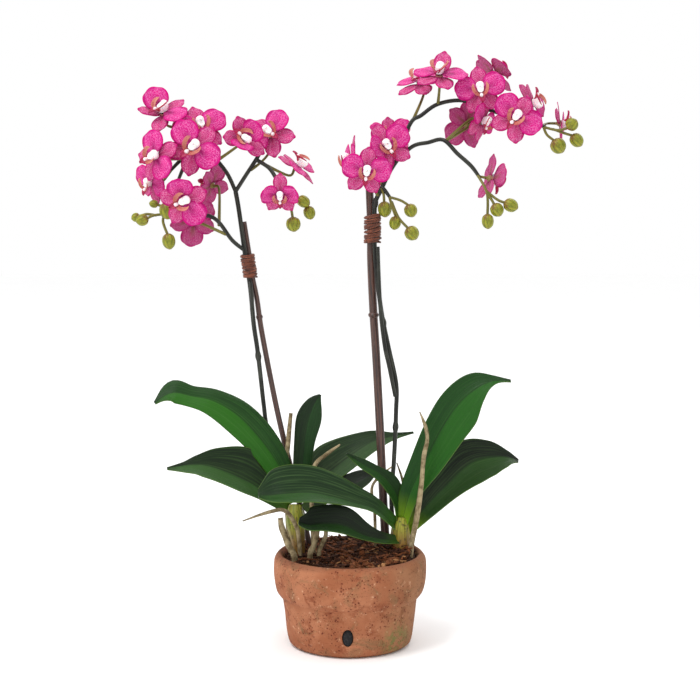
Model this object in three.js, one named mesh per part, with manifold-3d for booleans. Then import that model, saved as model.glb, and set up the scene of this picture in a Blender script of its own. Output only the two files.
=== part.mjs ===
// A potted miniature moth orchid: two sprays of small magenta blooms tied to canes over two
// leafy plants in a low, worn clay pot. Millimetres, +Z up, origin at the centre of the pot's foot.
// The front of the arrangement looks along -Y.
import * as THREE from 'three';
import Module from 'manifold-3d';

const wasm = await Module();
wasm.setup();

// Driving dimensions.
const GAP = 0.35;
const POT_SIDES = 22;
const POT_FLOOR = 10.5;
const HOLE_CENTRE = [-2, 20];
const HOLE_HALF = [5, 8];
const SOIL_BASE = 70;
const LEAF_THICKNESS = 1.6;
const PETAL_THICKNESS = 0.9;
const STEM_RADIUS = 2.05;
const BRANCH_RADIUS = 1.8;
const PEDICEL_RADIUS = 1.2;

// Outer and inner outline of the pot: radius and height.
const POT_OUTSIDE = [
  [0, 0], [49, 0], [53.5, 1.6], [57, 8], [61.2, 42], [63.8, 45.5], [67.2, 51], [69.4, 64],
  [69.2, 77], [67, 82], [64.6, 84],
];
const POT_INSIDE = [[62.4, 83], [60.8, 79], [60, 70], [52.5, 20], [48, POT_FLOOR], [0, POT_FLOOR]];

// Leaves: the way each half spreads from the rib, then for each place along the rib its x, y, z
// and the width of the far half and the near half.
const LEAVES = {
  left_leaf_1: {
    far: [0.45, 0.5, 0.74], near: [-0.6, -0.45, -0.66],
    rib: [[-52, 8, 128, 5, 5], [-63, 7, 158, 12, 13], [-79, 7, 184, 15, 16], [-100, 8, 207, 15, 18],
      [-123, 9, 221, 12, 15], [-144, 9, 226, 10, 11], [-162, 8, 229, 12, 10], [-177, 5, 220, 2, 2]],
  },
  left_leaf_2: {
    far: [0, 0.42, 0.91], near: [0, -0.95, -0.3],
    rib: [[-57, 0, 124, 6, 9], [-80, -9, 143, 25, 18], [-98, -15, 155, 30, 24], [-120, -22, 165, 20, 22],
      [-135, -27, 169, 10, 20], [-147, -31, 169, 4, 14], [-162, -34, 167, 1, 2]],
  },
  left_leaf_3: {
    far: [-0.91, 0.4, 0.1], near: [0.99, 0.11, 0.11],
    rib: [[-47, 12, 130, 6, 5], [-44, 12, 157, 9, 8], [-42, 12, 183, 10, 10], [-38, 12, 204, 12, 12],
      [-33, 11, 218, 8, 8], [-27, 10, 227, 1, 1]],
  },
  left_leaf_4: {
    far: [-0.2, 0.5, 0.84], near: [0.2, -0.84, -0.5],
    rib: [[-42, 15, 129, 5, 6], [-30, 24, 145, 17, 12], [-15, 34, 155, 25, 15], [2, 44, 166, 21, 15],
      [22, 52, 177, 12, 12], [42, 58, 181, 4, 4], [60, 62, 184, 1, 1]],
  },
  left_leaf_5: {
    far: [-0.2, 0.42, 0.88], near: [0.1, -0.9, -0.42],
    rib: [[-42, 5, 122, 5, 5], [-27, 12, 129, 11, 8], [-11, 18, 136, 13, 10], [2, 22, 141, 12, 12],
      [14, 25, 147, 9, 9], [24, 27, 151, 1, 1]],
  },
  right_leaf_1: {
    far: [-0.85, 0.3, 0.43], near: [0.84, -0.45, -0.3],
    rib: [[46, 0, 104, 5, 5], [54, -3, 137, 10, 9], [67, -6, 168, 13, 18], [82, -8, 198, 16, 23],
      [97, -9, 221, 17, 24], [114, -10, 236, 15, 13], [129, -10, 242, 6, 4], [144, -9, 242, 2, 2]],
  },
  right_leaf_2: {
    far: [-0.51, 0.3, 0.81], near: [0.5, -0.7, -0.5],
    rib: [[51, 6, 100, 5, 5], [69, 13, 122, 13, 13], [88, 20, 142, 18, 19], [109, 25, 160, 23, 25],
      [129, 29, 166, 17, 22], [145, 31, 166, 7, 14], [156, 32, 162, 2, 3]],
  },
  right_leaf_3: {
    far: [0, 0.42, 0.91], near: [0, -0.98, -0.2],
    rib: [[40, -6, 110, 8, 8], [22, -14, 126, 12, 8], [4, -24, 134, 17, 8], [-13, -34, 141, 21, 12],
      [-34, -44, 147, 25, 18], [-54, -51, 148, 26, 20], [-69, -54, 147, 21, 16], [-80, -56, 147, 6, 5]],
  },
  right_leaf_4: {
    far: [0, 0.42, 0.91], near: [0, -0.95, -0.3],
    rib: [[43, -8, 96, 5, 4], [27, -20, 100, 8, 6], [12, -30, 106, 13, 7], [-5, -38, 116, 18, 13],
      [-22, -44, 119, 18, 12], [-36, -48, 119, 15, 9], [-45, -50, 122, 5, 4]],
  },
  right_leaf_5: {
    far: [0.5, 0.35, 0.79], near: [-0.41, -0.76, -0.51],
    rib: [[45, 3, 113, 6, 6], [43, 0, 134, 8, 9], [35, -4, 149, 9, 9], [24, -8, 159, 6, 7],
      [11, -11, 167, 5, 5], [-3, -14, 177, 1, 1]],
  },
};

// Short stems that carry the leaves: path and radius.
const CROWNS = {
  left_crown: {
    path: [[-46, -2, SOIL_BASE], [-46, -2, 84], [-48, -1, 100], [-50, 3, 114], [-50, 7, 126]],
    radii: [4.5, 5, 7, 8.5, 5.5],
    leaves: ['left_leaf_1', 'left_leaf_2', 'left_leaf_3', 'left_leaf_4', 'left_leaf_5'],
  },
  right_crown: {
    path: [[46, -2, SOIL_BASE], [46, -2, 84], [46, -1, 96], [46, 0, 106], [47, 1, 116]],
    radii: [6, 8, 9, 8, 5],
    leaves: ['right_leaf_1', 'right_leaf_2', 'right_leaf_3', 'right_leaf_4', 'right_leaf_5'],
  },
};

// Canes the sprays are tied to.
const CANES = {
  left_cane: {
    path: [[-38, 23, SOIL_BASE], [-38, 23, 86], [-50, 26, 137], [-60, 25, 179], [-69, 20.5, 222],
      [-80, 12.5, 284], [-84, 9.5, 314], [-87.8, 7.3, 334], [-90.6, 6.6, 355], [-95, 7, 384]],
    radii: [2.7, 2.7, 2.7, 2.6, 2.5, 2.4, 2.3, 2.3, 2.2, 2.1], knots: [[-82, 11, 298]],
  },
  right_cane: {
    path: [[33, 16, SOIL_BASE], [33, 16, 86], [31, 16, 121], [27, 15, 203], [24, 12.5, 258], [21, 9.5, 305],
      [19, 6.6, 350], [18.8, 6.4, 378], [17, 6.4, 422]],
    radii: [4, 4, 3.9, 3.8, 3.7, 3.6, 3.6, 3.5, 3.4], knots: [[21.3, 9.8, 300]],
  },
};

// Wound raffia ties: bottom and top of the middle line, half widths along X and Y.
const TIES = {
  left_tie: {
    from: [-89.3, 5.2, 334], to: [-92.2, 4.4, 355], half: [6.8, 6.8], around: 'left_cane', stem: 'left_spray',
  },
  right_tie: {
    from: [20.2, 4.4, 365], to: [20.1, 4.4, 391], half: [8, 8], around: 'right_cane', stem: 'right_spray',
  },
};

// Spray stems: rods as path and radius; buds as centre, the way they point, length and width.
const SPRAYS = {
  left_spray: {
    stem: [[-50, 17, SOIL_BASE], [-50, 17, 86], [-56, 23, 120], [-66, 26, 157], [-76, 25, 192],
      [-79, 20, 216], [-81, 14, 239], [-84, 10, 269], [-87, 7, 292], [-89, 5, 318], [-91, 2.9, 336],
      [-94, 2, 355], [-99, 2, 393], [-102, 2, 411]],
    rods: [
      [[-88.4, 6, 305], [-88, 1, 316], [-89, -2, 331]],
      [[-102, 2, 411], [-111, 6, 429], [-127, 10, 446], [-138, 12, 447], [-146, 8, 438], [-153, 2, 421]],
      [[-138, 12, 447], [-150, 10, 440], [-160, 8, 430]],
      [[-127, 10, 446], [-137, 18, 455], [-148, 18, 463], [-158, 14, 468]],
      [[-102, 2, 411], [-92, -2, 426], [-82, -4, 441], [-79, -4, 448]],
      [[-83, -4, 439], [-72, -8, 432], [-66, -12, 424], [-62, -15, 417]],
      [[-95, 2, 359], [-105, -6, 368], [-121, -11, 388], [-147, -11, 391], [-166, -13, 391]],
    ],
    buds: [
      [[[-164, -13, 391], [-173, -16, 390]], [-183, -19, 386], [-1, 0, -0.3], 11, 9],
      [[[-171, -15, 390], [-180, -10, 391]], [-190, -8, 388], [-1, 0, -0.3], 8, 7],
      [[[-164, -13, 391], [-165, -15, 384]], [-160, -16, 367], [0.15, 0, -1], 14, 10],
      [[[-158, -12, 391], [-165, -9, 397]], [-174, -8, 400], [-1, 0, 0.2], 8, 6],
      [[[-150, -11, 391], [-156, -13, 402]], [-161, -17, 394], [0.1, 0, -1], 15, 12],
      [[[-63, -15, 418], [-54, -12, 409]], [-41, -9, 402], [0.8, 0, -0.5], 12, 9],
      [[[-54, -12, 409], [-46, -6, 402]], [-36, -5, 392], [0.3, 0, -1], 12, 9],
      [[[-59, -14, 414], [-53, -14, 400]], [-50, -14, 382], [0.1, 0, -1], 13, 11],
    ],
  },
  right_spray: {
    stem: [[43, 13, SOIL_BASE], [43, 13, 86], [38, 12, 125], [40, 12, 163], [41, 12, 183], [42, 12, 212],
      [42, 11, 237], [35, 8, 270], [29, 5, 299], [25.4, 3, 325], [22.3, 1, 356], [22, 0.9, 378],
      [22.4, 0.9, 400], [28, 2, 413], [35, 2, 428], [42, 2, 439]],
    rods: [
      [[41, 10, 226], [39, 6, 236], [35, 3, 255], [31, 0, 274], [27, -3.4, 310], [25, -4, 362]],
      [[42, 2, 439], [47, 4, 456], [55, 4, 473], [63, 4, 478], [78, 2, 488], [100, 0, 491], [123, 0, 483],
        [155, 4, 473], [174, 4, 468]],
      [[42, 2, 439], [56, 2, 451], [69, -5, 454], [82, -14, 456], [94, -20, 444], [106, -24, 433],
        [114, -24, 422]],
      [[28, 2, 415], [31, 0, 412], [36, -3, 405]],
    ],
    buds: [
      [[[28, 1, 414], [30, 0, 408]], [31, 0, 395], [0.1, 0, -1], 14, 10.5],
      [[[35, -3, 406], [38, -5, 396]], [40, -6, 383], [-0.2, 0, -1], 12, 9],
      [[[35, -3, 406], [45, -5, 403]], [54, -6, 394], [0.4, 0, -1], 12, 10],
      [[[37, -4, 402], [43, -8, 388]], [55, -10, 374], [0.6, 0, -0.8], 13, 11],
      [[[172, 4, 468], [184, -1, 465]], [196, -6, 470], [0.6, -0.3, 0.6], 11, 10],
      [[[180, 1, 466], [191, -1, 462]], [201, -2, 456], [0.7, 0, -0.8], 13, 10],
      [[[172, 4, 468], [175, 2, 461]], [185, 0, 451], [0.6, 0, -0.8], 14, 12],
      [[[111, -24, 426], [119, -33, 410]], [120, -33, 385], [0.05, 0, -1], 13, 9],
      [[[119, -33, 410], [123, -34, 404]], [128, -34, 395], [0.5, 0, -0.9], 12, 10],
      [[[119, -32, 411], [128, -34, 404]], [140, -34, 399], [0.9, 0, -0.4], 13, 10],
    ],
  },
};

// Blooms: middle, heading (0 faces -Y, turning towards +X), rise, clockwise roll, size and where
// the flower stalk leaves the spray, with any places it passes. A few end with bends of their own.
const BLOOMS = {
  left_bloom_1: [[-166, 2, 481], -20, 55, 30, 1.1, [[-158, 14, 468]], [10, 35, -5, 0, 55]],
  left_bloom_2: [[-137, -24, 449], 0, 10, 46, 1.16, [[-130, 10.5, 446]]],
  left_bloom_3: [[-170, -24, 441], -30, 8, 62, 1.05, [[-150, 10, 440]]],
  left_bloom_4: [[-177, -2, 418], -45, -5, 25, 0.9, [[-160, 8, 430]]],
  left_bloom_5: [[-144, -38, 403], -5, -5, 66, 1.08, [[-153, 2, 421]], [20, 0, -5, 5, 45]],
  left_bloom_6: [[-140, 8, 384], 168, -15, -112, 1, [[-110, -8, 373]]],
  left_bloom_7: [[-126, 24, 417], -135, 20, -100, 0.9, [[-116, -10, 381]]],
  left_bloom_8: [[-133, 6, 468], 10, 30, -15, 1.1, [[-127, 10, 446]]],
  left_bloom_9: [[-93, -12, 457], 10, 12, 126, 1, [[-119, 8, 438]], [0, 30, 30, 58, 58]],
  left_bloom_10: [[-71, 8, 462], -16, 26, -52, 1.05, [[-88, -3, 430], [-79, 3, 437], [-72, 13, 446]]],
  left_bloom_11: [[-46, -6, 434], 70, 45, 170, 0.95, [[-74, -7, 434]]],
  left_bloom_12: [[-61, -28, 408], 0, -25, 0, 0.85, [[-62, -15, 417]], [-20, 10, 10, 38, 38]],
  right_bloom_1: [[1, 12, 439], -78, 0, 0, 1, [[29, 2, 416]]],
  right_bloom_2: [[14, -28, 428], 5, -5, 8, 1, [[25, 1, 407]]],
  right_bloom_3: [[33, -4, 450], 5, 10, -30, 1.05, [[38, 2, 433]], [5, 5, 5, 10, 50]],
  right_bloom_4: [[37, 28, 460], 10, 50, -5, 0.95, [[44, 2.7, 446]], [40, 10, 10, 45, 30]],
  right_bloom_5: [[78, -16, 513], -5, 62, 15, 1.1, [[78, 2, 488]], [52, 0, 0, 0, 0]],
  right_bloom_6: [[63, 22, 509], -30, 62, 0, 1.1, [[56, 4, 474]], [0, 0, 0, 0, 0]],
  right_bloom_7: [[114, -18, 499], -5, 10, -10, 1, [[108, 0, 489]]],
  right_bloom_8: [[130, 24, 517], 117, 45, 0, 1.05, [[120, 0, 484]]],
  right_bloom_9: [[144, -28, 475], -5, 5, 36, 1.05, [[140, 2, 478]], [40, 0, 0, 5, 25]],
  right_bloom_10: [[163, 14, 490], 62, 12, 175, 1, [[150, 3, 475]]],
  right_bloom_11: [[191, 26, 472], 80, 0, 160, 0.95, [[171, 4, 469]]],
  right_bloom_12: [[104, 12, 470], -160, 0, 52, 1, [[84, -15, 455]]],
  right_bloom_13: [[116, -15, 472], 55, -10, 20, 0.9, [[84, -15, 455]]],
  right_bloom_14: [[125, -12, 422], 110, -10, 0, 1, [[113, -24, 424]]],
};

// Aerial roots: path and the radii from the soil up.
const ROOTS = {
  root_1: { path: [[54, -10, SOIL_BASE], [55, -10, 90], [60, -12, 116], [64, -15, 149], [66, -17, 174],
    [69, -19, 190],
    [67, -20, 203], [62, -21, 216]], radii: [2.7, 2.7, 2.5, 2.2, 2, 1.8, 1.6, 0.5] },
  root_2: { path: [[-55, 12, SOIL_BASE], [-55, 12, 84], [-58, 17, 122], [-59, 18.5, 155], [-57, 18.5, 180],
    [-54, 17, 209]],
    radii: [2.4, 2.4, 2.4, 2.3, 2.2, 1.8] },
  root_3: { path: [[-45, -14, SOIL_BASE], [-45, -14, 86], [-48, -17, 110], [-58, -21, 126], [-72, -24, 126],
    [-96, -26, 118]],
    radii: [2, 2, 2, 1.9, 1.6, 0.6] },
  root_4: { path: [[-50, -21, SOIL_BASE], [-50, -21, 84], [-56, -17, 96], [-61, -14, 108], [-63, -12, 118]],
    radii: [2.9, 2.9, 2.9, 2.8, 2.3] },
  root_5: { path: [[-36, -22, SOIL_BASE], [-36, -22, 87], [-33, -21, 93], [-30, -19, 104], [-29, -18, 111]],
    radii: [2.6, 2.6, 2.6, 2.5, 2.2] },
  root_6: { path: [[-28, -20, SOIL_BASE], [-28, -20, 88], [-26, -19, 94], [-22, -17, 102], [-22, -16, 110]],
    radii: [2.1, 2.1, 2.1, 2, 1.8] },
  root_7: { path: [[-33, -8, SOIL_BASE], [-33, -8, 84], [-34, -6, 114], [-35, -2, 141], [-32, 1, 163],
    [-22, 3, 173], [-9, 5, 182]],
    radii: [2, 2, 2, 2, 2, 1.8, 0.8] },
  root_8: { path: [[23, 2, SOIL_BASE], [23, 2, 86], [23, 5, 107], [22, 7, 125], [20, 7, 136], [21, 6, 145],
    [28, 4, 154], [38, 3, 162]],
    radii: [1.4, 1.4, 1.4, 1.4, 1.4, 1.3, 1.3, 0.6] },
  root_9: { path: [[52, 22, SOIL_BASE], [52, 22, 83], [52, 21, 109], [49, 19, 143], [43, 18, 163]],
    radii: [1.4, 1.4, 1.4, 1.3, 0.6] },
};

// Shape of one flower at size 1, the three sepals and then the two petals: direction in the face,
// length, half width and height at the middle; then how far each bends forward in degrees and
// its width from foot to tip as shares of the widest.
const FLORAL_LEAVES = [[90, 22, 7.4, -1.7], [-126, 21.5, 7.2, -1.7], [-54, 21.5, 7.2, -1.7],
  [16, 23, 10.2, 0.5], [164, 23, 10.2, 0.5]];
const LIFTS = [2, -4, -4, 8, 8];
const OUTLINE = [0.12, 0.82, 1, 0.42];
// Stalk end, receptacle and column of a flower: height, middle towards the top sepal, half widths.
const HEART = [[-6, 0, 1.4, 1.4], [-2.8, 0, 3.8, 3.8], [1.6, 0, 3.8, 3.8], [8.2, 1.8, 4.2, 5.4]];
// Half of the lip with its raised side lobe: rows from the base to the tip, inner and outer place.
const LIP = [
  [[0.5, -1.7, 0.9], [1.4, -1.5, 1]],
  [[3, -7, 6], [6.8, 2.2, 9.8]],
  [[0.5, -13, 6.3], [1.4, -12.6, 6.3]],
];

// A closed body from shared corners and triangles.
function solid(points, faces) {
  return new wasm.Manifold(new wasm.Mesh({
    numProp: 3,
    vertProperties: new Float32Array(points.flat()),
    triVerts: new Uint32Array(faces.flat()),
  }));
}

function join(bodies) {
  return bodies.reduce((sum, body) => sum.add(body));
}

function cut(body, cutters) {
  return cutters.reduce((rest, cutter) => rest.subtract(cutter), body);
}

// Values between the rows of a table, along a smooth line through them.
function along(rows, t) {
  const place = Math.min(Math.max(t, 0), 1) * (rows.length - 1);
  const i = Math.min(Math.floor(place), rows.length - 2);
  const f = place - i;
  const row = (k) => rows[Math.min(Math.max(k, 0), rows.length - 1)];
  return rows[0].map((unused, c) => {
    const [a, b, d, e] = [row(i - 1)[c], row(i)[c], row(i + 1)[c], row(i + 2)[c]];
    return b + 0.5 * f * (d - a + f * (2 * a - 5 * b + 4 * d - e + f * (3 * (b - d) + e - a)));
  });
}

// A blade from rows of points across it: both faces are split along the same diagonals.
function blade(rows, thickness) {
  const across = rows[0].length;
  const count = rows.length * across;
  const within = (k, count) => Math.min(Math.max(k, 0), count - 1);
  const at = (i, j) => rows[within(i, rows.length)][within(j, across)];
  const top = [];
  const bottom = [];
  rows.forEach((row, i) => row.forEach((p, j) => {
    const down = at(i + 1, j).clone().sub(at(i - 1, j));
    const side = at(i, j + 1).clone().sub(at(i, j - 1));
    const half = down.cross(side).normalize().multiplyScalar(thickness / 2);
    top.push(p.clone().add(half).toArray());
    bottom.push(p.clone().sub(half).toArray());
  }));
  const faces = [];
  const quad = (a, b, c, d) => faces.push([a, b, c], [a, c, d]);
  for (let i = 0; i < rows.length - 1; i += 1) {
    for (let j = 0; j < across - 1; j += 1) {
      const a = i * across + j;
      quad(a, a + across, a + across + 1, a + 1);
      faces.push([a + count, a + across + 1 + count, a + across + count]);
      faces.push([a + count, a + 1 + count, a + across + 1 + count]);
    }
    const left = i * across;
    const right = left + across - 1;
    quad(left, left + count, left + across + count, left + across);
    quad(right, right + across, right + across + count, right + count);
  }
  for (let j = 0; j < across - 1; j += 1) {
    const end = (rows.length - 1) * across + j;
    quad(j, j + 1, j + 1 + count, j + count);
    quad(end, end + count, end + 1 + count, end + 1);
  }
  return solid([...top, ...bottom], faces);
}

// Rings of points joined into a closed body, a point in the middle of each end.
function rings(loops) {
  const sides = loops[0].length;
  const points = loops.flat();
  const middle = (loop) => [0, 1, 2].map((c) => loop.reduce((sum, p) => sum + p[c], 0) / sides);
  const faces = [];
  for (let i = 0; i < loops.length - 1; i += 1) {
    for (let k = 0; k < sides; k += 1) {
      const a = i * sides + k;
      const b = i * sides + ((k + 1) % sides);
      faces.push([a, b, b + sides], [a, b + sides, a + sides]);
    }
  }
  const start = points.push(middle(loops[0])) - 1;
  const end = points.push(middle(loops[loops.length - 1])) - 1;
  const last = (loops.length - 1) * sides;
  for (let k = 0; k < sides; k += 1) {
    const next = (k + 1) % sides;
    faces.push([start, next, k], [end, last + k, last + next]);
  }
  return solid(points, faces);
}

// A round rod along a smooth path whose radius follows a list; grow widens it all round.
function rod(path, radii, sides, steps, grow = 0) {
  const places = [];
  for (let i = 0; i <= steps; i += 1) {
    places.push(new THREE.Vector3(...along(path, i / steps)));
  }
  const first = places[1].clone().sub(places[0]).normalize();
  let normal = new THREE.Vector3(0, 1, 0).cross(first);
  if (normal.length() < 0.3) {
    normal = new THREE.Vector3(1, 0, 0).cross(first);
  }
  const loops = places.map((p, i) => {
    const ahead = places[Math.min(i + 1, steps)].clone().sub(places[Math.max(i - 1, 0)]).normalize();
    normal.addScaledVector(ahead, -normal.dot(ahead)).normalize();
    const binormal = ahead.clone().cross(normal);
    const radius = along(radii.map((r) => [r]), i / steps)[0] + grow;
    const centre = p.clone();
    if (i === 0) {
      centre.addScaledVector(ahead, -grow);
    }
    if (i === steps) {
      centre.addScaledVector(ahead, grow);
    }
    return Array.from({ length: sides }, (unused, k) => {
      const angle = (k / sides) * 2 * Math.PI;
      return centre.clone()
        .addScaledVector(normal, Math.cos(angle) * radius)
        .addScaledVector(binormal, Math.sin(angle) * radius)
        .toArray();
    });
  });
  return rings(loops);
}

// A body turned about Z from an outline that starts and ends on the axis.
function turned(outline, sides) {
  const loops = outline.slice(1, -1).map(([radius, z]) => Array.from({ length: sides }, (unused, k) => {
    const angle = (k / sides) * 2 * Math.PI;
    return [Math.cos(angle) * radius, Math.sin(angle) * radius, z];
  }));
  return rings(loops);
}

// A leaf: two halves spread from a rib, each bowed a little; grow adds a margin all round.
function leaf({ far, near, rib }, grow = 0) {
  const steps = rib.length - 1;
  const place = (t) => new THREE.Vector3(...along(rib, t).slice(0, 3));
  const rows = [];
  for (let i = 0; i <= steps; i += 1) {
    const t = i / steps;
    const [, , , farWidth, nearWidth] = along(rib, t);
    const ahead = place(Math.min(t + 0.02, 1)).sub(place(Math.max(t - 0.02, 0))).normalize();
    const centre = place(t);
    if (i === 0) {
      centre.addScaledVector(ahead, -grow);
    }
    if (i === steps) {
      centre.addScaledVector(ahead, grow);
    }
    const spread = ([x, y, z]) => {
      const way = new THREE.Vector3(x, y, z);
      return way.addScaledVector(ahead, -way.dot(ahead)).normalize();
    };
    const [f, n] = [spread(far), spread(near)];
    const bow = f.clone().add(n).normalize();
    const row = [-1, -0.5, 0, 0.5, 1].map((s) => {
      const width = s < 0 ? nearWidth : farWidth;
      return centre.clone()
        .addScaledVector(s < 0 ? n : f, Math.abs(s) * (Math.max(width, 0.8) + grow))
        .addScaledVector(bow, Math.abs(s) === 0.5 ? -0.06 * width : 0);
    });
    rows.push(row);
  }
  return blade(rows, LEAF_THICKNESS + 2 * grow);
}

// One floral leaf of the flower, bent forward out of the face by the given angle.
function floralLeaf([angle, length, halfWidth, start], lift) {
  const turn = THREE.MathUtils.degToRad(angle);
  const bend = THREE.MathUtils.degToRad(lift);
  const flat = Math.cos(bend);
  const out = new THREE.Vector3(Math.cos(turn) * flat, Math.sin(turn) * flat, Math.sin(bend));
  const side = new THREE.Vector3(-Math.sin(turn), Math.cos(turn), 0);
  const front = out.clone().cross(side);
  const foot = new THREE.Vector3(Math.cos(turn) * 2, Math.sin(turn) * 2, start);
  const rows = OUTLINE.map((share, i) => {
    const reach = (length - 2) * (i / (OUTLINE.length - 1));
    return [-1, 1].map((s) => foot.clone()
      .addScaledVector(out, reach)
      .addScaledVector(side, s * halfWidth * share)
      .addScaledVector(front, -0.004 * reach * reach));
  });
  return blade(rows, PETAL_THICKNESS);
}

// The flower in its own frame: X to the viewer's right, Y to the top sepal, Z out of the face.
function flower(lifts) {
  const heart = HEART.map(([z, y, halfX, halfY]) => Array.from({ length: 4 }, (unused, k) => {
    const angle = THREE.MathUtils.degToRad(45 + 90 * k);
    return [Math.cos(angle) * halfX, y + Math.sin(angle) * halfY, z];
  }));
  const lip = LIP.map(([inner, outer]) => [
    new THREE.Vector3(-outer[0], outer[1], outer[2]),
    new THREE.Vector3(-inner[0], inner[1], inner[2]),
    new THREE.Vector3(...inner),
    new THREE.Vector3(...outer),
  ]);
  const parts = [
    rings(heart),
    ...FLORAL_LEAVES.map((row, i) => floralLeaf(row, lifts[i])),
    blade(lip, PETAL_THICKNESS),
  ];
  return join(parts);
}

function frameOf(heading, rise, roll) {
  const [h, e, r] = [heading, rise, roll].map(THREE.MathUtils.degToRad);
  const out = new THREE.Vector3(Math.sin(h) * Math.cos(e), -Math.cos(h) * Math.cos(e), Math.sin(e));
  const up = new THREE.Vector3(0, 0, 1).addScaledVector(out, -out.z).normalize();
  const right = up.clone().cross(out);
  const top = up.clone().multiplyScalar(Math.cos(r)).addScaledVector(right, Math.sin(r));
  return { right: top.clone().cross(out), top, out };
}

// Flower stalk from the spray to just behind the flower, arriving along its axis.
function stalk([centre, heading, rise, roll, size, places]) {
  const { out } = frameOf(heading, rise, roll);
  const middle = new THREE.Vector3(...centre);
  const end = middle.clone().addScaledVector(out, -(6 * size + GAP));
  const before = middle.clone().addScaledVector(out, -(6 * size + 7));
  const path = [...places, before.toArray(), end.toArray()];
  return rod(path, [1.3, 1.1], 4, path.length - 1);
}

// A bud on its stalk: plump near the stalk, blunt pointed at the end.
function bud([path, centre, way, length, width]) {
  const axis = new THREE.Vector3(...way).normalize();
  const at = (t) => new THREE.Vector3(...centre).addScaledVector(axis, length * t).toArray();
  const places = [...path, at(-0.5), at(-0.2), at(0.15), at(0.5)];
  const radii = [...path.map(() => PEDICEL_RADIUS), 0.3 * width, 0.52 * width, 0.5 * width, 0.1 * width];
  return rod(places, radii, 5, places.length - 1);
}

// Wound tie: a sleeve whose outline swells at each turn, bored for what it holds.
function tie({ from, to, half }) {
  const turns = 5;
  const loops = [];
  for (let i = 0; i <= turns * 2; i += 1) {
    const t = i / (turns * 2);
    const swell = i % 2 ? 1 : 0.93;
    const centre = from.map((v, c) => v + (to[c] - v) * t);
    loops.push(Array.from({ length: 8 }, (unused, k) => {
      const angle = (k / 8) * 2 * Math.PI;
      const slant = 0.7 * Math.sin(angle + i);
      return [
        centre[0] + Math.cos(angle) * half[0] * swell,
        centre[1] + Math.sin(angle) * half[1] * swell,
        centre[2] + (i > 0 && i < turns * 2 ? slant : 0),
      ];
    }));
  }
  return rings(loops);
}

// Bark mulch filling the pot, its top heaped and rough.
function soil() {
  const sides = POT_SIDES;
  const wall = [[59.9, 77], [52.1, 20.2], [47.7, POT_FLOOR + GAP]];
  const loops = [16, 38, 58.5].map((radius, i) => Array.from({ length: sides }, (unused, k) => {
    const angle = (k / sides) * 2 * Math.PI;
    const [x, y] = [Math.cos(angle) * radius, Math.sin(angle) * radius];
    const heap = 2.5 * Math.cos(radius / 30) + 0.045 * x + 0.04 * y;
    const rough = 1.3 * Math.sin(2.3 * k + 1.7 * i) + 0.9 * Math.sin(4.1 * k + 2.9 * i);
    return [x, y, 82.5 + heap + rough];
  }));
  for (const [radius, z] of wall) {
    loops.push(Array.from({ length: sides }, (unused, k) => {
      const angle = (k / sides) * 2 * Math.PI;
      return [Math.cos(angle) * radius, Math.sin(angle) * radius, z];
    }));
  }
  return rings(loops.reverse());
}

// An oval bar along Y through the low front of the pot.
function ovalBar(grow, front, back) {
  const loops = [back, front].map((y) => Array.from({ length: 14 }, (unused, k) => {
    const angle = (k / 14) * 2 * Math.PI;
    return [
      HOLE_CENTRE[0] + Math.cos(angle) * (HOLE_HALF[0] + grow),
      y,
      HOLE_CENTRE[1] + Math.sin(angle) * (HOLE_HALF[1] + grow),
    ];
  }));
  return rings(loops);
}

const LOOKS = {
  clay: { color: 0xb5714f, roughness: 0.9, metalness: 0 },
  rubber: { color: 0x16181a, roughness: 0.7, metalness: 0 },
  bark: { color: 0x4a2c1a, roughness: 0.95, metalness: 0 },
  sheath: { color: 0x8a9a30, roughness: 0.55, metalness: 0 },
  leaf: { color: 0x2c4a20, roughness: 0.4, metalness: 0 },
  stem: { color: 0x26291f, roughness: 0.4, metalness: 0 },
  cane: { color: 0x3a221a, roughness: 0.45, metalness: 0 },
  raffia: { color: 0x8a4a2c, roughness: 0.8, metalness: 0 },
  petal: { color: 0xd4209a, roughness: 0.6, metalness: 0 },
  root: { color: 0x94805f, roughness: 0.8, metalness: 0 },
};

const orchid = new THREE.Group();
orchid.name = 'potted_moth_orchid';

function shape(body) {
  const { numProp, vertProperties, triVerts } = body.getMesh();
  const points = [];
  for (let i = 0; i < vertProperties.length; i += numProp) {
    points.push(vertProperties[i], vertProperties[i + 1], vertProperties[i + 2]);
  }
  const geometry = new THREE.BufferGeometry();
  geometry.setAttribute('position', new THREE.Float32BufferAttribute(points, 3));
  geometry.setIndex([...triVerts]);
  geometry.computeVertexNormals();
  return geometry;
}

function add(name, geometry, look) {
  const mesh = new THREE.Mesh(geometry, new THREE.MeshStandardMaterial(LOOKS[look]));
  mesh.name = name;
  orchid.add(mesh);
  return mesh;
}

const caneRod = (row, grow = 0) => rod(row.path, row.radii, 6, row.path.length, grow);
const rootRod = (row, grow = 0) => rod(row.path, row.radii, 5, row.path.length, grow);
const crownRod = (row, grow = 0) => rod(row.path, row.radii, 6, 5, grow);
const stemRod = (row, grow = 0) => rod(row.stem, [STEM_RADIUS, STEM_RADIUS], 5, row.stem.length, grow);

// Pot and what fills it.
const potBody = turned([...POT_OUTSIDE, ...POT_INSIDE], POT_SIDES);
add('pot', shape(cut(potBody, [ovalBar(0, -70, -48)])), 'clay');
add('weep_plug', shape(ovalBar(-GAP, -57.6, -53.6)), 'rubber');
const standing = [
  ...Object.values(CROWNS).map((row) => crownRod(row, GAP)),
  ...Object.values(CANES).map((row) => caneRod(row, GAP)),
  ...Object.values(SPRAYS).map((row) => stemRod(row, GAP)),
  ...Object.values(ROOTS).map((row) => rootRod(row, GAP)),
];
add('substrate', shape(cut(soil(), standing)), 'bark');

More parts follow.
